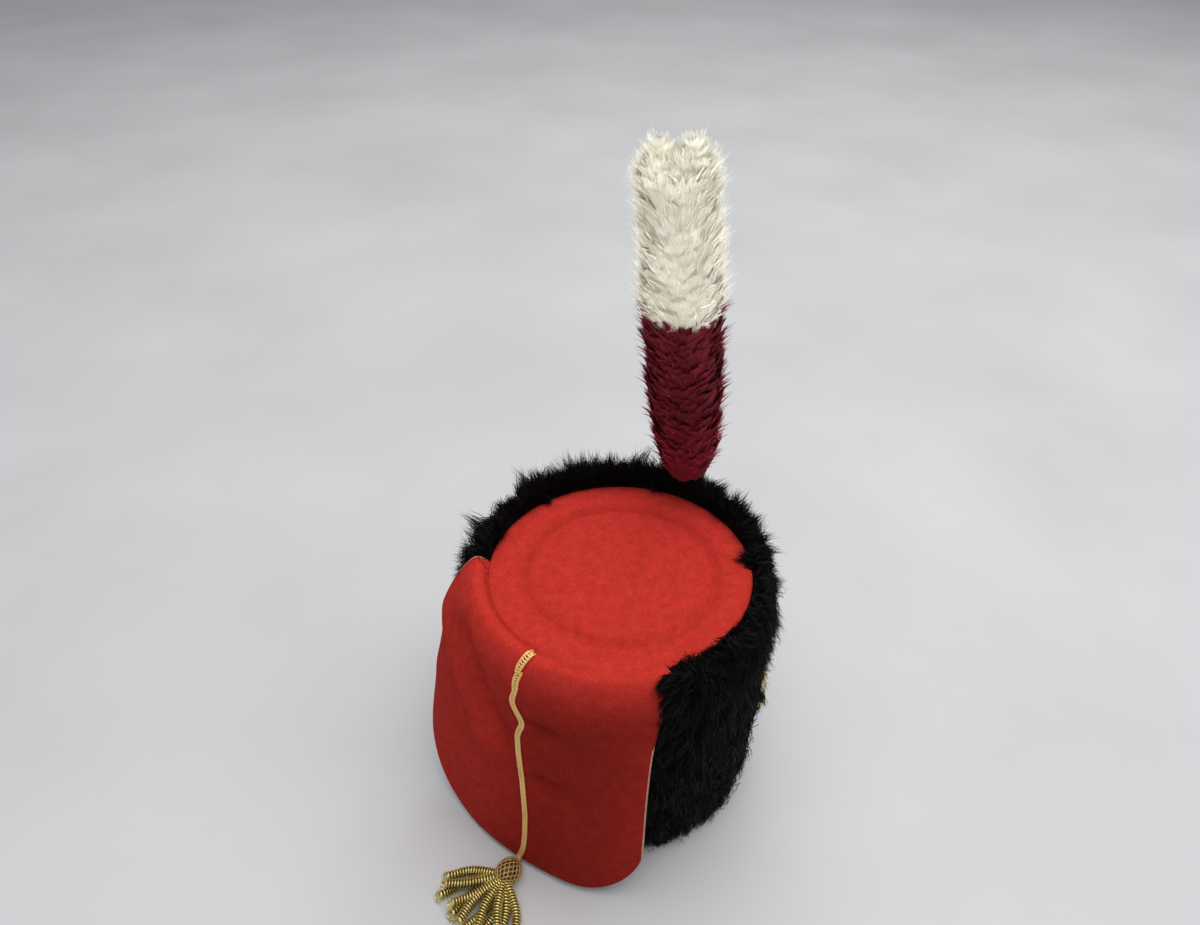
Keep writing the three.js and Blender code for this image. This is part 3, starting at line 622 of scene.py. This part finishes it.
def make_fur(name, start, end, length, vary, seed):
    """Tufts of hair from one share of the pile's height to another."""
    rng = np.random.default_rng(seed)
    angle = rng.uniform(*FUR_ANGLES, CLUMPS)
    section = fur_section(angle)[:, HAIRY_SPOTS]
    pitches = np.array([pitch for *_, pitch in FUR_SECTION[HAIRY_SPOTS]], float)
    front = at_front(angle)[:, None]
    pitches = pitches[:, 0] * (1 - front) + pitches[:, 1] * front
    steps = np.linalg.norm(np.diff(section, axis=1), axis=2)
    reach = np.concatenate([np.zeros((CLUMPS, 1)), np.cumsum(steps, axis=1)], axis=1)
    place = rng.uniform(start, end, CLUMPS) * reach[:, -1]
    at = np.array([[np.interp(p, r, s[:, 0]), np.interp(p, r, s[:, 1]), np.interp(p, r, lean)]
                   for p, r, s, lean in zip(place, reach, section, pitches)])
    pitch = at[:, 2] + rng.normal(0, PILE_SPREAD["pitch"], CLUMPS)
    swing = angle + rng.normal(0, PILE_SPREAD["swing"], CLUMPS)
    root = polar(at[:, 0] - ROOT_DEPTH, angle, at[:, 1])
    size = length * rng.uniform(*vary, CLUMPS) * pressed_by_chain(angle, at[:, 1])
    crest = np.interp(at[:, 1], CREST_HEIGHTS, [0, 1])
    size *= 1 - crest + crest * read_off(CREST_HAIR, angle)
    long = (crest > CREST_LONG["above"]) & (rng.uniform(size=CLUMPS) < CREST_LONG["share"])
    size *= np.where(long, CREST_LONG["times"], 1.0)
    grow_fur(name, root, leaning(pitch, swing), size, CLUMP_HAIRS, CLUMP_RADIUS, rng)


def make_tufts(seed):
    """The tufts that stand out from the pile."""
    rng = np.random.default_rng(seed)
    roots, ways, sizes = [], [], []
    for _, angles, radius, heights, pitch, swing, length, count in FUR_TUFTS:
        angle = rng.uniform(*angles, count)
        pitches = pitch + rng.normal(0, TUFT_SPREAD["pitch"], count)
        swings = angle + swing + rng.normal(0, TUFT_SPREAD["swing"], count)
        roots.append(polar(radius, angle, rng.uniform(*heights, count)))
        ways.append(leaning(pitches, swings))
        sizes.append(length * rng.uniform(*TUFT_VARY, count))
    grow_fur("fur_tufts", np.vstack(roots), np.vstack(ways), np.concatenate(sizes), TUFT_HAIRS, TUFT_RADIUS,
             rng)


# Felt bag: crown disc and hanging flap in one piece
def flap_span(span, across):
    return BAG_ANGLE + (-across * span[0] if across < 0 else across * span[1])


def flap_line(across, shares):
    """Points down the middle of the felt at one place across the flap."""
    lift = [0, CREASE_FILL * np.interp(across, CREASE_FADE, [0, 1]), 0, 0]
    root = [polar(radius, flap_span(FLAP_ROOT_SPAN, across), height + rise)
            for (radius, height), rise in zip(FLAP_ROOT, lift)]
    fall = [polar(spline(radii, (across + 1) / 2), flap_span(span, across), height)
            for height, span, radii in FLAP_SECTIONS]
    return smooth_line(root + fall, shares)


def flap_end(across):
    start, drop = FLAP_CORNERS["left"] if across < 0 else FLAP_CORNERS["right"]
    share = max(0.0, (abs(across) - start) / (1 - start))
    return 1 - drop * (1 - math.sqrt(max(0.0, 1 - share * share)))


def flap_rise(across, along):
    """How far the folds lift the felt at places across and along the flap."""
    here = np.stack(np.broadcast_arrays(across, along), -1) * FLAP_SIZE
    total = 0.0
    for _, first, last, width, rise in FLAP_FOLDS:
        start, end = np.array(first) * FLAP_SIZE, np.array(last) * FLAP_SIZE
        share = np.clip((here - start) @ (end - start) / np.sum((end - start) ** 2), 0, 1)
        apart = np.linalg.norm(here - start - share[..., None] * (end - start), axis=-1)
        total = total + rise * np.exp(-((apart / width) ** 2) / 2)
    return total


def sheet_normals(grid):
    return unit(np.cross(np.gradient(grid, axis=0), np.gradient(grid, axis=1)))


def flap_grid(columns, shares):
    """Middle face of the flap and its outward normals, as rows down it and columns across it."""
    ends = np.array([flap_end(across) for across in columns])
    along = shares[:, None] * ends[None]
    middle = np.stack([flap_line(across, along[:, k]) for k, across in enumerate(columns)], 1)
    middle = middle + sheet_normals(middle) * flap_rise(columns[None], along)[..., None]
    return middle, sheet_normals(middle)


def crown_top(radius):
    """Height of the crown's top face at radii."""
    fine = np.linspace(0, CROWN_RADIUS, 400)
    padded = np.pad(read_off(CROWN_SECTION, fine), CROWN_BLUR, mode="edge")
    window = 2 * CROWN_BLUR + 1
    smooth = np.convolve(padded, np.ones(window) / window, mode="valid")
    return CROWN_HEIGHT + np.interp(radius, fine, smooth)


def make_bag():
    even = np.linspace(-1, 1, FLAP_COLUMNS)
    columns = 0.5 * even + 0.5 * np.sin(even * np.pi / 2)
    middle, normal = flap_grid(columns, np.linspace(0, 1, FLAP_ROWS))
    angles = np.array([flap_span(FLAP_ROOT_SPAN, across) for across in columns])
    inside, sink = np.array(FLAP_ROOT_INSIDE, float).T[..., None]
    root = polar(inside, angles[None], crown_top(inside) + sink - FELT / 2)
    middle = np.concatenate([root, middle])
    normal = np.concatenate([np.broadcast_to([0.0, 0.0, 1.0], root.shape), normal])
    rows, wide = middle.shape[:2]
    outer = middle + normal * FELT / 2
    inner = middle - normal * FELT / 2
    rim = [(0, j) for j in range(wide)] + [(i, wide - 1) for i in range(1, rows)]
    rim += [(rows - 1, j) for j in range(wide - 2, -1, -1)] + [(i, 0) for i in range(rows - 2, 0, -1)]
    around = np.array([i * wide + j for i, j in rim])
    flat = grid_faces(rows, wide)
    size = rows * wide
    following = np.roll(around, -1)
    edge = np.stack([around, following, following + size, around + size], 1)
    flap_points = np.vstack([outer.reshape(-1, 3), inner.reshape(-1, 3)])
    flap_faces = np.vstack([flat, flat[:, ::-1] + size, edge])

    reach = np.linspace(0.02, CROWN_RADIUS, 90)
    top = np.stack([reach, crown_top(reach)], 1)
    crown_points, crown_faces = turned(np.vstack([top - [0, FELT], top[::-1]]), 180)
    points, faces = joined([(flap_points, flap_faces), (crown_points, crown_faces)])
    colour = np.zeros(len(faces), int)
    row, column = np.divmod(np.arange(len(flat)), wide - 1)
    rim_row, rim_column = np.array(rim).T
    left_cut, right_cut = CUT_ROWS
    colour[:len(flat)] = ((column == 0) & (row > left_cut)) | ((column == wide - 2) & (row > right_cut))
    shown = (rim_column < wide - 1) | (rim_row > right_cut)
    colour[2 * len(flat):len(flap_faces)] = (rim_row > left_cut) & shown
    # Painted shade: the hanging flap darker than the crown, a painted shadow in the crease, and painted shade
    # in the crown's pressed ring
    hanging = np.interp(np.arange(rows), HANGING_ROWS, [0, 1])
    painted_flap_shade = 1 - hanging[:, None] * (1 - read_off(FLAP_PAINTED_SHADE, columns))
    painted_crease_shadow = 1 - read_off(CREASE_PAINTED_SHADOW, np.arange(rows))
    painted_flap_shade *= 1 - painted_crease_shadow[:, None] * np.interp(columns, CREASE_FADE, [1, 0])
    crown_painted_shade = read_off(CROWN_RING_PAINTED_SHADE, np.linalg.norm(crown_points[:, :2], axis=1))
    shade = np.concatenate([painted_flap_shade.ravel(), painted_flap_shade.ravel(), crown_painted_shade])
    bag = piece("bag_felt", points, faces, [RED_FELT, CUT_EDGE], "felt", colour, shade=shade)
    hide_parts("bag")
    return bag


# Gold braid: a woven tape with two corded edges
def braid_frames(count):
    """Places along the braid with the directions along it, across it and out of the felt."""
    route = np.array(BRAID_ROUTE, float)
    share = np.linspace(0, 1, count)
    along, across = spline(route, share).T
    here, out = [], []
    beside, ahead = 0.012, 0.006
    for u, v in zip(across, along):
        columns = np.array([u - beside, u, u + beside])
        rows = np.array([max(0.0, v - ahead), v, min(1.0, v + ahead)])
        middle = np.stack([flap_line(c, rows) for c in columns], 1)
        normal = unit(np.cross(middle[2, 1] - middle[0, 1], middle[1, 2] - middle[1, 0]))
        here.append(middle[1, 1] + normal * flap_rise(u, v))
        out.append(normal)
    here, out = np.array(here), np.array(out)
    run = unit(np.gradient(here, axis=0))
    side = unit(np.cross(out, run))
    return here, run, side, out


def woven_tape(path, side, out, pitch, width):
    """Two edge cords and the threads that cross between them."""
    length = run_lengths(path)
    fine = np.linspace(0, length[-1], int(length[-1] / WEAVE_STEP))
    middle = points_at(fine, length, path)
    beside, above = unit(points_at(fine, length, side)), unit(points_at(fine, length, out))
    wide = np.interp(fine, length, width)[:, None]
    step = 2 * np.pi / np.interp(fine[1:], length, pitch) * np.diff(fine)
    turn = np.concatenate([[0], np.cumsum(step)])[:, None]
    up = above.mean(axis=0)
    parts = []
    for hand in (-1, 1):
        ribbed = EDGE_CORD["radius"] + EDGE_CORD["rib"] * np.cos(turn[:, 0] * 2)
        edge = middle + beside * hand * (wide / 2 - EDGE_CORD["inset"]) + above * EDGE_CORD["lift"]
        parts.append(tube(edge, ribbed, 7, up))
    for phase in (0, np.pi):
        across = beside * np.sin(turn + phase) * (wide / 2 - CROSS_THREAD["inset"])
        over = above * CROSS_THREAD["lift"] * np.cos(turn * 2 + 2 * phase)
        parts.append(tube(middle + across + over, CROSS_THREAD["radius"], 5, up))
    return joined(parts)


def make_braid():
    here, run, side, out = braid_frames(420)
    clear = FELT / 2 + GAP
    neck = TASSEL_CENTRE + np.array([TASSEL_LENGTH / 2 + 2 * GAP, 0, 0])
    tail = np.linspace(here[-1] + out[-1] * (clear + BRAID_LIFT["tail"]), neck, 8)[1:]
    base = here + out * (clear + BRAID_LIFT["tape"])
    share = np.linspace(0, 1, len(base))
    lower, upper = share > BRAID_BREAK[0], share < BRAID_BREAK[1]
    pitch = read_off(BRAID_PITCHES, share)
    narrow = read_off(UPPER_WIDTHS, share) * BRAID_WIDTH
    regular = read_off(LOWER_WIDTHS, share) * BRAID_WIDTH
    moved = base + side * read_off(BRAID_SHIFTS, share)[:, None] + out * BRAID_LIFT["lower"]
    raised = base + out * BRAID_LIFT["upper"]
    first = woven_tape(*(part[upper] for part in (raised, side, out, pitch, narrow)))
    path = np.vstack([moved[lower], tail])
    spread = []
    for part in (side, out, pitch, regular):
        spread.append(np.concatenate([part[lower], np.repeat(part[-1:], len(tail), axis=0)]))
    second = woven_tape(path, *spread)

    loose = []
    for k in range(9):
        start = base[0] + side[0] * BRAID_WIDTH * (k - 4) / 9.5
        reach = 2.2 + 0.9 * uneven(k + 5)
        end = start - run[0] * reach + side[0] * 0.7 * uneven(k + 31) + out[0] * (0.5 + 0.4 * uneven(k + 57))
        loose.append(tube(smooth_line([start + run[0], start, end], np.linspace(0, 1, 8)), 0.3, 5, up=out[0]))
    points, faces = joined([first, second] + loose)
    braid = piece("braid_plait", points, faces, [BRAID], "braid")
    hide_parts("bag_braid")


# Tassel: netted head and bullion coils
def tassel_strands():
    axis = polar(1, TASSEL_AXIS_ANGLE, 0)
    for layer, (count, spread, length, height, bow) in enumerate(STRAND_LAYERS):
        for k in range(count):
            share = k / (count - 1) - 0.5
            angle = TASSEL_AXIS_ANGLE + spread * share + 3 * uneven(k + 20 * layer)
            reach = length * (1 + 0.1 * uneven(k + 60 + 20 * layer))
            out = polar(1, angle, 0)
            sideways = polar(1, angle + 90, 0) * bow * (1 if share >= 0 else -1)
            start = TASSEL_CENTRE + axis * TASSEL_LENGTH * 0.18
            middle = TASSEL_CENTRE + out * (TASSEL_LENGTH / 2 + reach / 2) + sideways
            end = TASSEL_CENTRE + out * (TASSEL_LENGTH / 2 + reach)
            middle[2] = end[2] = height
            yield np.array([start, middle, end]), reach


def make_tassel():
    wire, net, painted_shade_cores = [], [], []
    for number, (route, reach) in enumerate(tassel_strands()):
        turns = int(reach / COIL_PITCH)
        share = np.linspace(0.08, 1, turns * COIL_POINTS)
        path = smooth_line(route, share)
        along = unit(np.gradient(path, axis=0))
        side = unit(np.cross(along, [0, 0, 1]))
        top = np.cross(side, along)
        turn = np.linspace(0, 2 * np.pi * turns, len(share))[:, None]
        radius = (STRAND_RADIUS - COIL_WIRE) * (1 + 0.04 * uneven(number + 90))
        closing = np.interp(share, [0.96, 1], [radius, 0.8 * radius])[:, None]
        coil = path + closing * (np.cos(turn) * side + np.sin(turn) * top)
        wire.append(tube(coil, COIL_WIRE, 7, up=(0.3, 0.2, 1)))
        ring = np.linspace(0, 2.1 * np.pi, 30)[:, None]
        facing = unit(0.75 * along[-1] + np.array([0, 0, 0.65]))
        spoke = np.cos(ring) * side[-1] + np.sin(ring) * np.cross(facing, side[-1])
        end = path[-1] + along[-1] + radius * spoke
        wire.append(tube(end, 1.2 * COIL_WIRE, 7, up=facing))
        # A dark core in each coil, painted shade between its turns
        painted_shade_cores.append(tube(smooth_line(route, np.linspace(0.05, 0.95, 20)), radius - 0.3, 8))

    long = np.linspace(0.06, 0.94, 44) * np.pi
    swell = TASSEL_RADIUS * np.sin(long) ** HEAD_FULLNESS
    for hand in (-1, 1):
        for k in range(NET_CORDS):
            turn = hand * NET_TWIST * long + 2 * np.pi * k / NET_CORDS
            knot = [np.cos(long) * TASSEL_LENGTH / 2, swell * np.cos(turn), swell * np.sin(turn)]
            cord = TASSEL_CENTRE + np.stack(knot, 1) * NET_SIZE
            net.append(tube(cord, NET_WIRE, 6, up=(0.2, 0.3, 1)))
    wide, tall = TASSEL_RADIUS * HEAD_CORE[0], TASSEL_LENGTH * HEAD_CORE[1]
    profile = [(max(0.02, wide * math.sin(t) ** HEAD_FULLNESS), -math.cos(t) * tall)
               for t in np.linspace(0.02, np.pi - 0.02, 20)]
    head, head_faces = turned(profile, 24)
    # A dark core under the net, painted shade in its holes
    painted_shade_cores.append((TASSEL_CENTRE + head[:, [2, 0, 1]], head_faces))
    groups = [joined(parts) for parts in (wire, net, painted_shade_cores)]
    colour = np.repeat(np.arange(3), [len(group_faces) for _, group_faces in groups])
    points, faces = joined(groups)
    points[:, 2] = np.maximum(points[:, 2], 0.05)
    tassel = piece("tassel_bullion", points, faces, [BULLION, NET, BULLION_PAINTED_SHADE], "bullion", colour)
    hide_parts("tassel")


# Plume: overlapping feathers on a leaning rod
def lean_plume(points):
    """From heights along the rod to the part's frame."""
    hinge = polar(1, PLUME_LEAN_ANGLE + 90, 0)
    angle = math.radians(PLUME_LEAN)
    turned_points = (points * math.cos(angle) + np.cross(hinge, points) * math.sin(angle)
                     + np.outer(points @ hinge, hinge) * (1 - math.cos(angle)))
    return turned_points + polar(PLUME_FOOT_RADIUS, PLUME_ANGLE, PLUME_BASE)


def petal(at, rng):
    """One cupped feather standing along +Z and facing +X: points, faces and shades of its barbs."""
    length, width = rng.uniform(*at["length"]), rng.uniform(*at["width"])
    barbs, fringe = at["barbs"], at["fringe"]
    side = np.linspace(-1, 1, barbs)[:, None]
    share = np.array([[0, 0.35, 1 - fringe, 1]])
    ragged = rng.uniform(1 - 0.35 * fringe, 1 + 0.1 * fringe, (barbs, 1))
    rise = length * (1 - PETAL["shorter"] * side**2) * ragged * share
    spread = side * width / 2 * np.sin(np.pi / 2 * np.minimum(1, 0.15 + 1.2 * share))
    spread += rng.normal(0, 0.5 * fringe * width / barbs, (barbs, 1)) * share
    out = at["curl"] * rise**3 / length**2 - PETAL["cup"] * width * side**2 * share
    out += rng.normal(0, fringe, (barbs, 1)) * share**2
    half = width / barbs * np.array(PETAL["widths"])
    row = np.stack([out, spread, rise], -1)
    left, right = row[:, :3].copy(), row[:, :3].copy()
    left[..., 1] -= half
    right[..., 1] += half
    points = np.concatenate([np.stack([left, right], 2).reshape(barbs, 6, 3), row[:, 3:]], 1)
    first = 7 * np.arange(barbs)[:, None]
    corners = ([0, 1, 3], [0, 3, 2], [2, 3, 5], [2, 5, 4], [4, 5, 6])
    faces = np.concatenate([first + corner for corner in corners])
    # Painted shade at the feather's root and a painted highlight at its tip
    along = np.interp([0, 0, 1, 1, 2, 2, 3], [0, 2, 3], [at["root"], 1, at["tip"]])
    tone = rng.uniform(*PETAL["shades"]) * rng.uniform(*PETAL["barb_shades"], (barbs, 1)) * along
    return points.reshape(-1, 3), faces, tone.ravel()


def placed_petal(made, pitch, angle, foot):
    """A petal tipped outwards, turned to face an angle and set on its foot."""
    points, faces, tone = made
    tip, turn = math.radians(pitch), math.radians(angle)
    x = points[:, 0] * math.cos(tip) + points[:, 2] * math.sin(tip)
    z = points[:, 2] * math.cos(tip) - points[:, 0] * math.sin(tip)
    y = points[:, 1]
    east = x * math.cos(turn) - y * math.sin(turn)
    north = x * math.sin(turn) + y * math.cos(turn)
    return np.stack([east, north, z], 1) + foot, faces, tone


def stray_barbs(at, heights, radii, rng):
    """Thin barbs that stand out from the feathers: points, faces and shades."""
    count = at["strays"]
    start, end = STRAY_BARBS["past"]
    height = rng.uniform(at["from"] + start, at["to"] + end, count)
    angle = rng.uniform(0, 360, count)
    pitch = 90 - rng.uniform(*STRAY_BARBS["pitch"], count)
    root = polar(np.interp(height, heights, radii) - STRAY_BARBS["depth"], angle, height)
    away = leaning(pitch, angle + rng.normal(0, STRAY_BARBS["spread"], count))
    tip = root + away * rng.uniform(*at["stray"], (count, 1))
    wide = STRAY_BARBS["half_width"] * unit(np.cross(away, rng.normal(0, 1, (count, 3))))
    points = np.stack([root - wide, root + wide, tip], 1).reshape(-1, 3)
    # Strays carry nearly the tip's painted highlight
    return points, np.arange(3 * count).reshape(-1, 3), np.full(3 * count, 0.95 * at["tip"])


def make_plume(at, material, lobes=()):
    rng = np.random.default_rng(at["seed"])
    heights, radii = np.array(at["radii"], float).T
    made = []

    def add(centre, radius, height, angle, pitch):
        foot = centre + polar(max(LEAST_RADIUS, radius - at["inset"]), angle, height)
        made.append(placed_petal(petal(at, rng), rng.normal(pitch, PETAL_SPREAD["pitch"]),
                                 angle + rng.normal(0, PETAL_SPREAD["angle"]), foot))

    for k in range(at["petals"]):
        height = at["from"] + (at["to"] - at["from"]) * (k + rng.uniform()) / at["petals"]
        radius = np.interp(height + PETAL_REACH, heights, radii)
        add(np.zeros(3), radius, height, GOLDEN_TURN * k, at["pitch"])
    for angle, offset, top, petals in lobes:
        for k in range(petals):
            share = (k + 0.5) / petals
            centre = polar(offset, angle, 0)
            radius = LOBE["radius"] * math.sqrt(1 - share**2)
            height = top - LOBE["height"] * (1 - share)
            add(centre, radius, height, GOLDEN_TURN * k, LOBE["pitch"] - LOBE["straighten"] * share)
    made.append(stray_barbs(at, heights, radii, rng))
    points, faces = joined([part[:2] for part in made])
    shade = np.concatenate([part[2] for part in made])
    # Painted light: the feathers lighter towards the plume's foot
    shade *= read_off(at["foot_painted_light"], points[:, 2])
    plume = piece(at["node"] + "_feathers", lean_plume(points), faces, [material], at["slot"], shade=shade)
    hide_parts(at["node"])

    level = np.linspace(*at["core"], 30)
    inside = np.maximum(np.interp(level, heights, radii) - CORE_INSET, LEAST_RADIUS)
    profile = np.stack([inside, level], 1)
    profile = np.vstack([[0.02, level[0]], profile, [0.02, level[-1]]])
    points, faces = turned(profile, 24)
    # The core's darker shade is painted shade inside the plume, seen between the feathers
    core = piece(at["node"] + "_core", lean_plume(points), faces, [material], at["slot"],
                 shade=np.full(len(points), at["under"]))
    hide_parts(at["node"])


# Chin chain: round links between two studs
def links_along(path):
    """Links along a path, flat on the fur and upright by turns."""
    length = run_lengths(path)
    links = int(length[-1] / LINK_PITCH)
    around, sides = LINK_POINTS
    turn = np.linspace(0, 2 * np.pi, around, endpoint=False)[:, None]
    thick = np.linspace(0, 2 * np.pi, sides, endpoint=False)[None, :, None]
    for k in range(links):
        at = (k + 0.5) / links * length[-1]
        place, before = points_at([at, at - 0.5], length, path)
        along = unit(place - before)
        out = unit(place * [1, 1, 0])
        beside = unit(np.cross(along, out))
        tilt = math.radians(LINK_TILTS[k % 2])
        across = beside * math.cos(tilt) + out * math.sin(tilt)
        ring = place + LINK_SIZE[0] * np.cos(turn) * along + LINK_SIZE[1] * np.sin(turn) * across
        radial = unit(ring - place)[:, None]
        spoke = np.cos(thick) * radial + np.sin(thick) * np.cross(along, across)
        points = ring[:, None] + LINK_WIRE * spoke
        yield points.reshape(-1, 3), grid_faces(around, sides, round_rows=True, round_columns=True)


def make_chain():
    first, last = CHAIN_ANGLES
    angle = first + (last - first) * np.linspace(*CHAIN_SHOWN, 2000)
    main = polar(CHAIN_RADIUS, angle, chain_height(angle))
    drop = polar(np.linspace(*SPARE_LINKS["radii"], 60), first, np.linspace(*SPARE_LINKS["heights"], 60))
    points, faces = joined([*links_along(main), *links_along(drop)])
    chain = piece("chain_links", points, faces, [BRASS], "chain")
    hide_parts("chin_chain")


def make_stud(name, node, angle):
    points, faces = turned(STUD_PROFILE, 40)
    out = polar(1, angle, 0)
    beside = polar(1, angle + 90, 0)
    foot = polar(CHAIN_RADIUS - STUD_SINK, angle, CHAIN_HEIGHT)
    placed = foot + points[:, 2:] * out + points[:, :1] * beside
    placed[:, 2] += points[:, 1]
    stud = piece(name, placed, faces, [BRASS], "chain")
    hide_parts(node)


# Stage: floor, light and camera
def make_stage():
    half_size, height = 4000.0, -0.2
    corners = np.array([[-1, -1], [1, -1], [1, 1], [-1, 1]]) * half_size
    floor_points = np.column_stack([corners, np.full(4, height)]) * MM
    mesh = bpy.data.meshes.new("floor")
    mesh.from_pydata(floor_points.tolist(), [], [(0, 1, 2, 3)])
    material, tree, surface = shader("pale_floor", (0.66, 0.66, 0.67), 0.6)
    clouds = ramp(tree, noise(tree, 3, 5), [(0.3, (0.62, 0.62, 0.63)), (0.7, (0.70, 0.70, 0.71))])
    tree.links.new(clouds, surface.inputs["Base Color"])
    mesh.materials.append(material)
    floor = bpy.data.objects.new("floor", mesh)
    scene.collection.objects.link(floor)

    world = bpy.data.worlds.new("studio")
    world.use_nodes = True
    world.node_tree.nodes["Background"].inputs["Color"].default_value = (0.93, 0.95, 1.0, 1)
    world.node_tree.nodes["Background"].inputs["Strength"].default_value = 0.22
    scene.world = world
    for name, place, aim, size, spread, power in STUDIO_LIGHTS:
        lamp = bpy.data.lights.new(name, "AREA")
        lamp.size = size
        lamp.spread = math.radians(spread)
        lamp.energy = power
        light = bpy.data.objects.new(name, lamp)
        light.location = place
        light.rotation_euler = (Vector(aim) - light.location).to_track_quat("-Z", "Y").to_euler()
        light.visible_camera = False
        scene.collection.objects.link(light)
    scene.view_settings.view_transform = "Standard"

    lens = bpy.data.cameras.new("camera")
    lens.lens = CAMERA_LENS
    lens.sensor_width = 36
    camera = bpy.data.objects.new("camera", lens)
    camera.location = CAMERA_PLACE
    camera.rotation_euler = (math.radians(90 - CAMERA_DOWN), 0, math.radians(CAMERA_HEADING))
    scene.collection.objects.link(camera)
    scene.camera = camera


make_stage()
make_hide()
for number, at in enumerate(FUR_PIECES):
    make_fur(*at, seed=11 + number)
make_tufts(seed=17)
bag = make_bag()
make_braid()
make_tassel()
make_plume(FEATHERS[0], RED_FEATHER)
make_plume(FEATHERS[1], WHITE_FEATHER, PLUME_LOBES)
make_chain()
make_stud("stud_front", "chain_boss_front", CHAIN_ANGLES[0])
make_stud("stud_back", "chain_boss_back", CHAIN_ANGLES[1])
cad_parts["plume_stem"].material_slots[0].material = ROD
